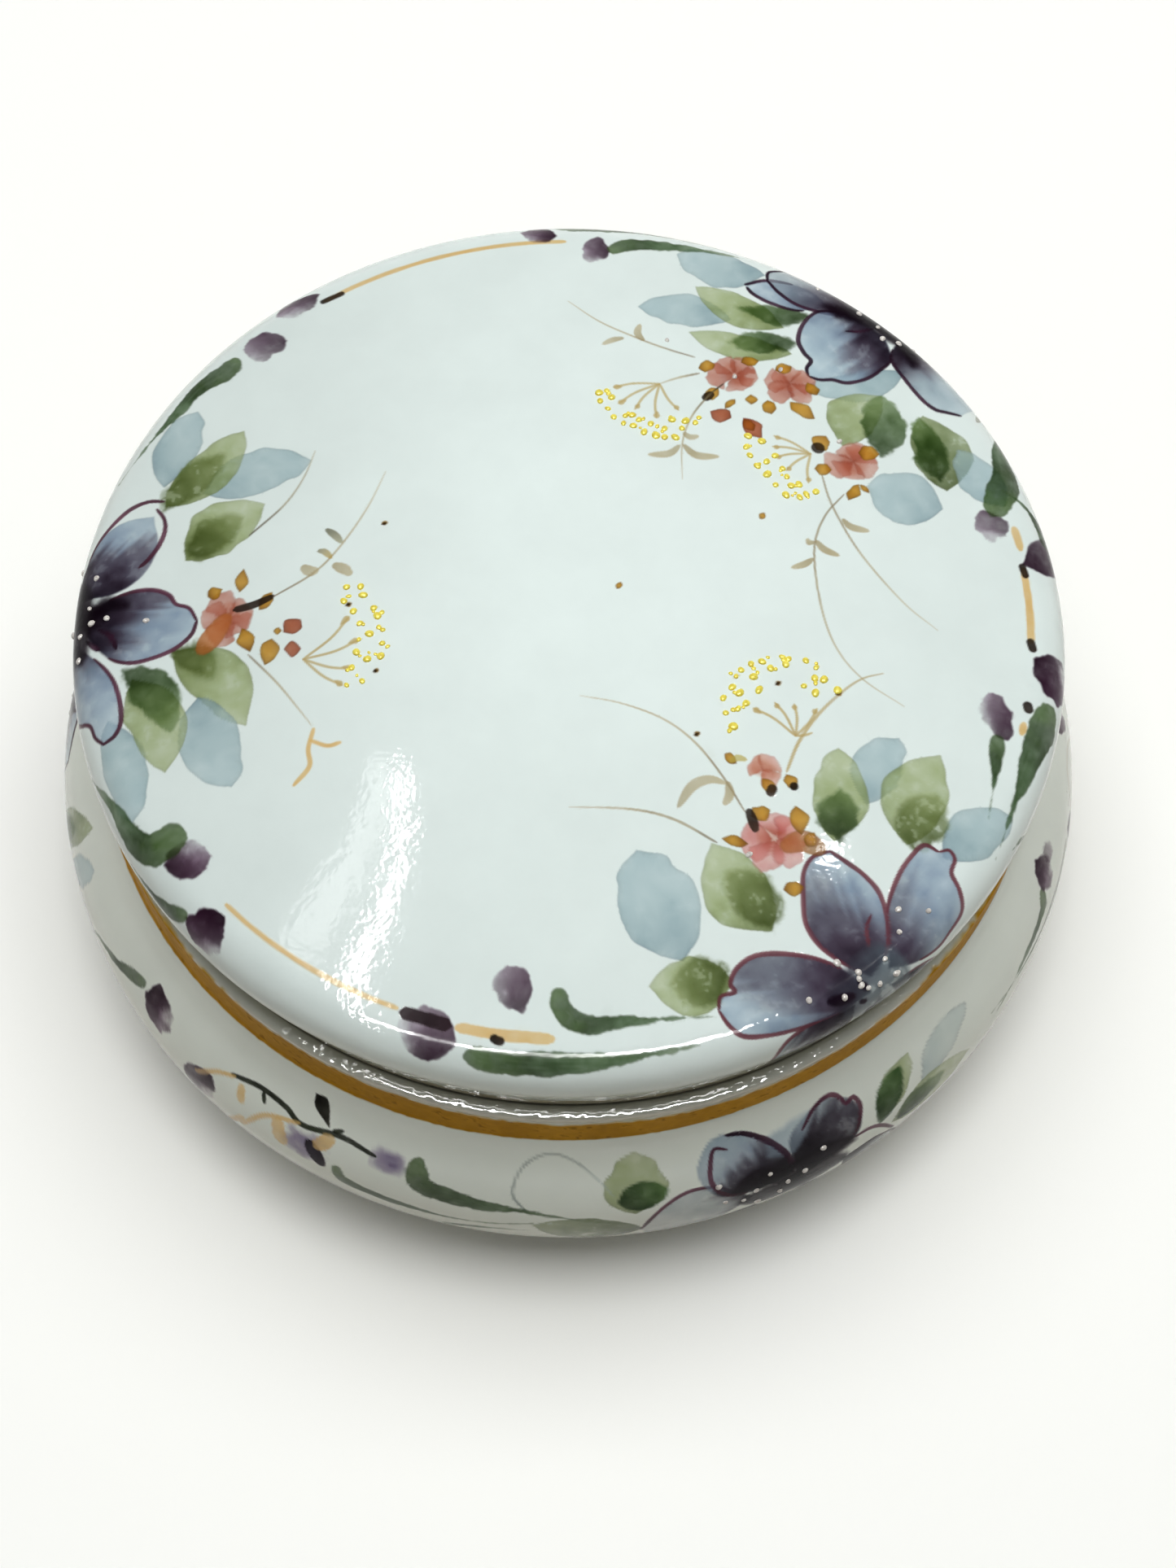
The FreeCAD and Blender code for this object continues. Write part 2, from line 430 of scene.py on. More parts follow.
def petal(canvas, left, right, heart=0.5, lean=0.0, lines=((0.1, 1), (0.1, 1)), ink=plumInk,
          shades=("#414e64", "#6c819a", "#98afbf"), night=("#0b040c", "#1e101c", "#413644"), fade=0.35):
    # a blue wash, a dark one drawn out from the heart of the flower in hairs, and inked sides
    reach = insideOf(canvas, left, right)
    lay(canvas, reach, list(shades), alpha=[0.96, 0.94, 0.9], soft=0.2, grain=0.24, hairs=0.14,
        pool=0.16, wobble=0.25, specks=0.12)
    if heart:
        window, t, side, depth = reach
        hair = bristles(side, 12) * 0.6 + bristles(side, 5) * 0.4
        edge = heart * (1 + lean * side) + 0.3 * (hair - 0.5) - t + 0.25 * (canvas.broad[window] - 0.5)
        lay(canvas, (window, np.clip(t / heart, 0, 1), side, depth), list(night),
            mask=smooth(edge / fade + 0.5), alpha=[0.99, 0.95, 0.85], soft=0.4, grain=0.2, relief=0.2,
            specks=0.14)
    for line, (start, end) in zip((left, right), lines):
        if end > start:
            inkLine(canvas, part(line, start, end), ink=ink)


def plainPetal(canvas, base, tip, width, bow=0.0, **look):
    # a petal whose sides are only roughly drawn
    left, right = sidesOf(base, tip, width, (0.45, 0.85, 1.0, 0.95, 0.62), bow, 0.12)
    petal(canvas, left, right, **look)


def leaf(canvas, base, tip, width, tone, bow=0.0, blunt=0.0):
    look = dict(soft=0.14, wobble=0.25, grain=0.24)
    look.update(leafTones[tone])
    if tone == "mist":
        blunt = 0.1
    fatness = (0.5, 0.8, 0.97, 1.0, 0.93, 0.75, 0.42 + 0.12 * random.random() + blunt)
    left, right = sidesOf(base, tip, width, fatness, bow, 0.07)
    lay(canvas, insideOf(canvas, left, right), **look)


def floret(canvas, middle, size, turn=0.0, petals=5, shades=("#86382a", "#a65540", "#b86a56")):
    for k in range(petals):
        angle = math.radians(turn + 360 / petals * (k + 0.5 * (random.random() - 0.5)))
        reach = size * (0.75 + 0.4 * random.random())
        tip = (middle[0] + reach * math.cos(angle), middle[1] + reach * math.sin(angle))
        left, right = sidesOf(middle, tip, size * 0.5, (0.5, 0.85, 1.05, 1.0, 0.7), 0, 0.24)
        lay(canvas, insideOf(canvas, left, right), list(shades), alpha=[0.9, 0.82, 0.78], soft=0.2, pool=0.18,
            grain=0.3, wobble=0.5, relief=0.3)
    angle = random.random() * math.pi
    way = np.array([math.cos(angle), math.sin(angle)]) * size * 0.45
    stroke(canvas, [middle - way, np.array(middle) + way], size * 0.4, ["#9c3f24", "#b0573a"], alpha=0.5,
           swell=(0.5, 0.5), soft=0.6, wobble=1.2, grain=0.4)


def bud(canvas, spot, long, wide, turn=0.0, kind="amber", inked=0.0):
    shades = {"amber": ["#8f5a10", "#c08a26", "#a66c12"], "coral": ["#8a3a1c", "#9f4c2c", "#954124"],
              "umber": ["#853f10", "#9c5218", "#8f4812"]}[kind]
    angle = math.radians(turn)
    step = np.array([math.cos(angle), math.sin(angle)]) * long / 2
    spot = np.array(spot, float)
    left, right = sidesOf(spot - step, spot + step, wide / 2, (0.8, 1.0, 0.8), 0, 0.22)
    lay(canvas, insideOf(canvas, left, right), shades, alpha=0.96, pool=0.4, grain=0.12, relief=0.4)
    if inked:
        stroke(canvas, [spot - step * 1.1, spot - step * (1 - 2 * inked)], wide * 0.36,
               ["#140d08", "#241a12"], swell=(0.5, 0.5), relief=0.4)


def tendril(canvas, spots, width=0.11, shades=("#7b6f58", "#a3936c", "#b0a27c")):
    stroke(canvas, spots, width, list(shades), swell=(0.3, 0.8), alpha=[0.9, 0.8, 0.7],
           soft=0.09, least=0.35, grain=0.2)


def sprig(canvas, spots, width=0.4, shades=("#94845c", "#b0a075")):
    # a small leaf or hook on a tendril
    stroke(canvas, spots, width, list(shades), swell=(0.6, 0.6), alpha=0.8, soft=0.1, grain=0.2)


def umbel(canvas, name, root, heads, grains):
    # fine stalks that fan out from a root, with raised grains over their heads
    shades = ["#b39b62", "#b9a264"]
    for head in heads:
        middle = (np.array(root) * 0.45 + np.array(head) * 0.55)
        aside = np.array([head[1] - root[1], root[0] - head[0]]) * 0.06
        stroke(canvas, [root, middle + aside, head], 0.14, shades, swell=(0.2, 0.2),
               alpha=0.8, soft=0.09, least=0.5)
        stroke(canvas, [middle + (np.array(head) - middle) * 0.55, head], 0.34, shades,
               swell=(1.0, 0.3), alpha=0.85, soft=0.1)
    for x, y in grains:
        beads[name].append((x, y, 0.28 + 0.18 * random.random()))
        aside = (random.random(2) - 0.5) * 1.5
        if random.random() < 0.55:
            beads[name].append((x + aside[0], y + aside[1], 0.18 + 0.1 * random.random()))
        # an olive-gold touch under each grain, set a little off it: its gilt paste base, and painted shade
        # beside the raised grain
        stroke(canvas, [(x - 0.2, y - 0.2), (x + 0.3, y + 0.1)], 0.34, ["#8c7c2a", "#a89740"],
               swell=(0.3, 0.3), alpha=0.75, soft=0.2, wobble=0.8, grain=0.3)


def dab(canvas, base, tip, width, depth=1.0):
    # violet pressed brush mark: crisp and dark down one side, thinned out on the other
    left, right = sidesOf(base, tip, width, (0.75, 0.95, 1.0, 0.85, 0.6), 0, 0.14)
    reach = insideOf(canvas, left, right)
    window, t, side, _ = reach
    fine, broad = canvas.fine[window], canvas.broad[window]
    thin = smooth((side + 0.95 + 0.9 * (broad - 0.5)) / 0.9)
    lay(canvas, reach, ["#725270", "#4e2d4a", "#33162c"], mask=0.3 + 0.7 * thin, soft=0.22, pool=0.3,
        alpha=[0.75 * depth, 0.94 * depth, 0.97 * depth], grain=0.4, wobble=0.7)
    edge = 0.3 * t + 0.225 * side + 0.5 * (broad - 0.5) + 0.3 * (fine - 0.5)
    edge = edge + 0.06 * (bristles(side, 14) - 0.5)
    lay(canvas, reach, ["#2a0f21", "#150510"], mask=smooth(edge / 0.45 + 0.5),
        alpha=[0.7 * depth, 0.95 * depth], soft=0.3, grain=0.25, wobble=0.5)


def softDab(canvas, spot, size, shades=("#4a3560", "#5c4878")):
    # a wet touch of violet that has run out at its edge
    x, y = spot
    stroke(canvas, [(x - size * 0.3, y), (x + size * 0.3, y + size * 0.1)], size, list(shades),
           swell=(0.3, 0.3), soft=size * 1.1, wobble=size * 1.2, alpha=0.95, grain=0.3)


def comma(canvas, spots, width, fall=2.1):
    # a round head, a dark elbow and a long thin tail
    stroke(canvas, spots, width, ["#2f4819", "#122406", "#1c360f", "#2a461b", "#41582f"], swell=(0.3, fall),
           alpha=[0.88, 1.0, 0.98, 0.9, 0.75], soft=0.24, pool=0.2, least=0.05,
           grain=0.2, hairs=0.16, wobble=0.6)


def goldLine(canvas, spots, width):
    stroke(canvas, spots, width, ["#dcb267", "#d3a455", "#dab062"], swell=(0.15, 0.15), alpha=0.9,
           soft=0.16, least=0.7, gilt=0.25, relief=0.3, grain=0.22, wobble=0.4)


def drops(name, *spots):
    for x, y in spots:
        beads[name].append((x, y, 0.27 + 0.1 * random.random()))


def heartOf(canvas, spots, width):
    # where the petals meet the paint is nearly black
    stroke(canvas, spots, width, ["#10060f", "#0a030a", "#10060f"], swell=(0.4, 0.4), alpha=0.96,
           soft=1.0, grain=0.12, hairs=0.12, wobble=0.9, relief=0.2)


glazeWhite = "#e2eeea"
lidCanvas = Canvas((-62, -62), (62, 62), glazeWhite)


def paintLidLeft(c):
    # the spray at the left
    for tone, base, tip, width, bow in [
            ("mist", (-41.7, 13.5), (-39, 23.2), 2.5, 0.05),
            ("mist", (-37.5, 12.3), (-26.6, 15.8), 2.8, 0.06),
            ("spring", (-41.3, 11), (-33.8, 20.2), 2.6, -0.05),
            ("olive", (-41.4, 10.6), (-35.5, 17.5), 1.9, 0.03),
            ("spring", (-38.7, 4.2), (-31, 10.6), 3.1, 0.08),
            ("olive", (-38.6, 4.4), (-33.3, 9), 2.2, 0.05),
            ("spring", (-39.2, -6.2), (-31.2, -14.8), 3, 0.12),
            ("olive", (-39.2, -6), (-34.5, -9.6), 1.9, 0.1),
            ("mist", (-36.2, -11.3), (-32.2, -21.2), 3, -0.06),
            ("mist", (-45, -13.5), (-41.8, -24.3), 2.3, 0.05),
            ("spring", (-43, -9), (-38.8, -19.4), 2.9, 0.08),
            ("moss", (-44, -8), (-38.7, -14.8), 2.3, 0.15), ("mist", (-50.5, 23), (-48, 31), 2.2, 0.05)]:
        leaf(c, base, tip, width, tone, bow)
    plainPetal(c, (-53, 0), (-60, 4), 3.5)
    petal(c, [(-54, 2), (-57, 6), (-57.2, 13), (-53.4, 19)],
          [(-54, 2), (-52.4, 5), (-52.2, 10), (-52.5, 14), (-53.4, 19)], heart=0.5,
          lines=((0, 0), (0.25, 0.97)))
    petal(c, [(-51, -3.5), (-48.6, -5.2), (-46.5, -7), (-44.9, -9), (-44, -11.4), (-43.7, -13.6),
              (-44.2, -15.1), (-45.3, -15.9)],
          [(-51, -3.5), (-55, -4), (-57.2, -8.5), (-55, -11.3), (-52.2, -12.3), (-49.1, -13.1),
           (-47.2, -13.6), (-46.4, -15), (-45.3, -15.9)],
          heart=0.3, lines=((0.3, 1), (0.42, 1)))
    petal(c, [(-49.8, 0.8), (-50.2, 3.5), (-48.9, 6.4), (-47, 8.6), (-44.6, 9.7), (-42.4, 9.9)],
          [(-49.8, 0.8), (-47, 0.6), (-44.6, 1.4), (-42.8, 3.2), (-41.7, 6), (-42.4, 9.9)],
          heart=0.62, lean=-0.25, lines=((0, 0), (0, 0)))
    inkLine(c, [(-49.4, 5.6), (-48.4, 7.3), (-46.8, 9.2), (-45, 11), (-43.2, 11.8), (-41.5, 11.7)], 0.24)
    inkLine(c, [(-42.2, 10.8), (-41.3, 9.5), (-41.1, 8), (-41.6, 6.2), (-42.6, 4.6), (-43.4, 3.8)], 0.26)
    petal(c, [(-49, -2), (-47.6, -0.7), (-45.6, 0.4), (-43.6, 1), (-41.6, 1), (-40, 0.3), (-39.2, -0.8),
              (-37.8, -1.4), (-36.9, -2.9)],
          [(-49, -2), (-47.6, -4.6), (-45.6, -6.5), (-43.4, -7.2), (-41, -6.8), (-38.9, -5.9),
           (-37.4, -4.5), (-36.9, -2.9)],
          heart=0.6, lean=0.5, lines=((0.25, 1), (0.35, 1)))
    inkLine(c, [(-46.9, -3.2), (-45.6, -4), (-44.9, -5.5)], 0.3, blackInk)
    inkLine(c, [(-48.2, -4.2), (-47.4, -5), (-46.6, -5.6)], 0.3, blackInk)
    heartOf(c, [(-54.8, 8.2), (-54, 4), (-52, 0), (-50, -3), (-48.9, -6.2)], 2.6)
    heartOf(c, [(-50.5, 2.4), (-49, -1), (-46.6, -2)], 1.8)
    heartOf(c, [(-49, -1.6), (-46.4, -0.4), (-44.2, -0.6)], 1)
    drops("lidDrops", (-54.7, 8), (-55.3, 3.9), (-53.2, 3), (-54.2, -0.6), (-54.2, -3.8), (-47.8, 3),
          (-48.2, -0.5), (-46.2, -1.9), (-47.8, -2.3), (-49.2, -3.4), (-49.2, -6.1), (-51.5, 5.6),
          (-51.8, -2), (-42.1, -2.5))
    floret(c, (-33.8, -2.8), 3, 95)
    stroke(c, [(-33.8, -2.5), (-35, -4.5), (-36.2, -6.3)], 1.1, ["#b0612c", "#b86a34", "#a85a24"],
           swell=(0.4, 0.3), alpha=0.9, soft=0.2, pool=0.2)
    for spot, long, wide, turn, kind in [
            ((-32.7, 1.5), 2.7, 1.3, 85, "amber"), ((-35.3, 0.2), 1.7, 1.4, 30, "amber"),
            ((-30.1, -1), 2.4, 1.3, 60, "amber"), ((-31.8, -5.4), 2.9, 1.7, 110, "amber"),
            ((-29.5, -6.8), 2.9, 1.9, 80, "amber"), ((-27.3, -4), 2.1, 1.7, 40, "coral"),
            ((-27.1, -6.6), 1.6, 1.5, 0, "coral"), ((-28.7, -4.5), 0.8, 0.7, 0, "amber")]:
        bud(c, spot, long, wide, turn, kind)
    stroke(c, [(-33.2, -1.9), (-31.3, -1.4), (-29.4, -0.5)], 0.42, ["#1c1510", "#2a1f16"], swell=(0.2, 0.3),
           soft=0.1, least=0.4, relief=0.5)
    tendril(c, [(-29.4, -0.6), (-25.5, 2), (-23, 5), (-20.5, 9.5), (-18.8, 14)])
    tendril(c, [(-31.5, -7), (-28.5, -10.2), (-26.3, -13), (-24.8, -15)])
    tendril(c, [(-32.3, 6.8), (-29, 10.3), (-27.2, 13.6), (-26.2, 17)],
            shades=("#2f2a20", "#8f8468", "#a3936c"))
    sprig(c, [(-26.7, 2.8), (-25.8, 2.2), (-25.2, 2.4)], 0.6)
    sprig(c, [(-23.6, 2.9), (-22.3, 2.2), (-21.8, 1.6)], 0.6)
    sprig(c, [(-24.6, 7.2), (-23.6, 6.4), (-22.8, 5.4)], 0.42, ("#4b4a34", "#8f8a64"))
    sprig(c, [(-25.3, 4.5), (-24.6, 4.5), (-23.7, 3.6)], 0.35, ("#4b4a34", "#b8994a"))
    goldLine(c, [(-24.6, -15.4), (-25, -17.5), (-24.8, -19.3), (-26.2, -21.2)], 0.24)
    goldLine(c, [(-24.8, -16.6), (-23.2, -17.2), (-22, -16.9)], 0.24)
    umbel(c, "lidGrains", (-26, -7.8), [(-21.7, -3.2), (-20.6, -5.8), (-21.2, -9), (-22, -10.8)],
          [(-22.1, 0.2), (-20.7, 0.2), (-20.4, -0.8), (-19.3, -2.3), (-21.3, -2.6), (-20.6, -4),
           (-18.7, -4.5), (-19.6, -5.2), (-18.3, -6.3), (-20.6, -5.8), (-20.8, -7.2), (-18.4, -7.7),
           (-19.7, -8), (-21.2, -8.9), (-20.1, -10.4), (-21.6, -10.8), (-18.9, -3.2), (-22.3, -1.4)])
    for x, y in [(-18.6, 7.6), (-21.8, -1.8), (-18.8, -9.3)]:
        bud(c, (x, y), 0.7, 0.5, 20, "amber", inked=0.9)


def paintLidRight(c):
    # the spray at the upper right
    for tone, base, tip, width, bow in [
            ("mist", (17, 34.8), (7, 36.3), 2.3, -0.05), ("mist", (21, 41.8), (11.5, 44.5), 2.6, 0.1),
            ("mist", (38, 11), (30.3, 13.2), 3.4, 0.02), ("mist", (35.5, 29), (24.5, 25.8), 2, 0.1),
            ("spring", (22.6, 34), (13.3, 39.6), 2.3, 0.05), ("moss", (25.8, 36), (17.5, 36.8), 1.4, 0.08),
            ("spring", (23.3, 30.3), (12.4, 32.8), 1.8, 0.06), ("moss", (23.8, 31.9), (16.6, 31.5), 1.5, 0),
            ("spring", (28, 18.2), (32.6, 25.2), 2.7, 0.15), ("moss", (32, 17.3), (32.6, 25.3), 2.3, -0.03),
            ("sage", (38.6, 13.3), (36.8, 23), 3.2, -0.08), ("moss", (38, 14.5), (36.4, 22.6), 1.8, 0)]:
        leaf(c, base, tip, width, tone, bow)
    plainPetal(c, (38, 42), (31, 54), 4, ink=blackInk)
    plainPetal(c, (40, 37), (53, 33), 4.4, ink=blackInk)
    petal(c, [(28, 37.4), (24.4, 36.7), (21.6, 37.5), (19.6, 38.8), (18.7, 40.2)],
          [(28, 37.4), (25.5, 40), (21.4, 41), (18.7, 40.2)], heart=0, lines=((0.3, 0.97), (0.5, 1)),
          ink=blackInk)
    petal(c, [(34.4, 38.5), (31.4, 36), (29.4, 36.2), (26.6, 36.7), (24.2, 37.6), (22.4, 39.2), (21.2, 41)],
          [(34.4, 38.5), (33, 42.2), (31, 45), (29, 46.9), (26.2, 48), (23.2, 48.3), (22.6, 47.2),
           (23.8, 44.6), (22.9, 43.2), (21.4, 42.3), (21.2, 41)],
          heart=0.62, lean=0.1, lines=((0.1, 1), (0.2, 1)), ink=blackInk,
          shades=("#4c4f5c", "#5f6a76", "#8f9fa8"), fade=0.6)
    petal(c, [(33.5, 33.6), (34, 30.6), (32.6, 28.7), (31, 27.4), (29, 26.7), (27.5, 27), (26.1, 26.9),
              (24.9, 27.3)],
          [(33.5, 33.6), (31.4, 35.6), (29, 36.7), (26.5, 36.7), (24.8, 34.8), (24.1, 32.4), (24.6, 30.6),
           (25.3, 29.5), (24.8, 28.4), (24.9, 27.3)],
          heart=0.42, lean=0.6, lines=((0.2, 1), (0.25, 1)), ink=blackInk,
          shades=("#4f5c74", "#7b93a8", "#9db8c6"))
    inkLine(c, [(29.3, 34.1), (30.8, 34.2), (32.4, 34.8)], 0.2, blackInk)
    petal(c, [(35, 33.4), (38, 38), (42, 36.6), (44.6, 33.6), (45.1, 31), (44.6, 27), (41, 23.4)],
          [(35, 33.4), (34, 30.6), (35.4, 27.6), (36.9, 25.2), (38.2, 24), (39.4, 23.7), (41, 23.4)],
          heart=0.45, lean=-0.3, lines=((0.42, 0.78), (0.12, 1)), ink=blackInk,
          shades=("#5c6674", "#869aa6", "#a9bfc8"))
    heartOf(c, [(27, 37.6), (30, 36.9), (33, 36), (35.6, 33.5), (36.4, 29.5)], 1.4)
    heartOf(c, [(32, 41), (34, 37.6), (37, 35), (40.5, 36)], 2.9)
    drops("lidDrops", (31.1, 37.2), (32.4, 40.1), (34.5, 38.7), (36.1, 39.1), (36.9, 36.8), (33, 35.3),
          (33.3, 33.4), (35.1, 33.1), (26.8, 40.6), (37.8, 34.6), (38.7, 38))
    floret(c, (17.1, 27), 2.9, 60)
    floret(c, (22.9, 26.2), 2.9, 20)
    floret(c, (29, 16.2), 3, 40)
    for spot, long, wide, turn, inked in [
            ((14.2, 28), 1.9, 1.6, 20, 0), ((18.8, 28.9), 2, 1.5, 10, 0), ((22.3, 28.2), 1.9, 1.3, 20, 0),
            ((25.2, 25.6), 2, 1.4, 120, 0), ((14.6, 24.3), 2.1, 1.4, 45, 0.55), ((16.5, 23), 1.7, 0.8, 50, 0),
            ((18.7, 23.7), 1.4, 1.2, 90, 0), ((20.6, 22.8), 1.9, 1.5, 100, 0), ((24, 22.6), 3.3, 1.7, 140, 0),
            ((25.8, 18.4), 2.1, 1.9, 60, 0.3), ((30.7, 17.4), 2.2, 1.9, 0, 0), ((25.8, 15), 1.8, 1.6, 0, 0),
            ((28.8, 12.3), 2.4, 1.3, 60, 0), ((30, 12.8), 1.4, 0.6, 130, 0)]:
        bud(c, spot, long, wide, turn, "amber", inked)
    bud(c, (15.5, 21.5), 2.3, 1.8, 160, "coral")
    bud(c, (18.7, 19.9), 3.2, 1.9, 125, "coral")
    bud(c, (18.3, 20.3), 1.8, 1.2, 125, "umber")
    drops("lidDrops", (17.1, 26.7), (22, 28), (27.7, 18.7), (10.1, 31.5))
    tendril(c, [(13, 29.2), (10, 30.3), (7, 31.7), (3, 34), (-0.4, 37)])
    sprig(c, [(7.7, 31.3), (7, 32.4), (7.3, 33.8)], 0.4)
    sprig(c, [(5.6, 31.7), (4.4, 31.4), (3.2, 30.7)], 0.35)
    tendril(c, [(15.9, 25.7), (14.3, 24), (12.4, 21), (11.4, 17.5), (11.3, 13)],
            shades=("#2f2a20", "#a3936c", "#b8ae94"))
    sprig(c, [(11.2, 17.4), (10, 16.2), (7.8, 16)], 0.42)
    sprig(c, [(11.4, 17.5), (12.8, 16.1), (15.2, 16)], 0.45)
    sprig(c, [(11.5, 19), (12.2, 18.4), (13.2, 18.6)], 0.35)
    umbel(c, "lidGrains", (9.2, 25.4), [(4.4, 24.8), (4.9, 22.6), (6.6, 21.9), (8.8, 20.8), (11.1, 21.9)],
          [(2.9, 24), (3.7, 24.3), (4.2, 23.4), (3, 22.9), (3.8, 21.9), (4.4, 20.8), (5.4, 20), (6.3, 21.1),
           (6.4, 19.7), (7, 20.5), (7.5, 18.9), (8.2, 20), (8.7, 18.5), (9.6, 19.4), (9.6, 18.3),
           (10.7, 18.3), (11.4, 19.5), (11.8, 20.5), (12.8, 20.3), (10.4, 20.6), (5.6, 21)])
    tendril(c, [(13.4, 27), (11.2, 26.3), (9.2, 25.4)], 0.14)
    umbel(c, "lidGrains", (24.6, 16.9), [(20.9, 19), (20.7, 17.6), (20.9, 16.2), (22, 14.6), (24.2, 13.2)],
          [(18.2, 18.8), (19.6, 18.2), (18, 17.4), (18.3, 16.3), (19, 15), (20, 15.6), (20, 14), (20.9, 16.4),
           (21.6, 14.8), (20.8, 12.7), (22, 13.8), (22.4, 12.7), (23.2, 12.9), (21.8, 11.5), (23.2, 11.3),
           (23.9, 11.7), (24.9, 12.1)])
    tendril(c, [(25.6, 14.4), (26.5, 10.5), (29, 5), (33, -0.5), (36.4, -3.6)])
    tendril(c, [(27.8, 12), (25.6, 9), (24.4, 5), (24.7, -1), (26, -6), (28.5, -9.5), (32.5, -12.3)])
    sprig(c, [(27.4, 9), (28.3, 8), (30.2, 7.6)], 0.42)
    sprig(c, [(24.6, 6.2), (25.4, 5.1), (27, 4.4)], 0.42)
    sprig(c, [(24.3, 4), (23.3, 3.2), (21.9, 2.7)], 0.38)
    sprig(c, [(24.6, 6), (23.9, 5.8), (23.8, 6.4)], 0.3)
    for x, y in [(19.3, 8.8), (4.8, 0.1)]:
        bud(c, (x, y), 0.9, 0.6, 60, "amber")


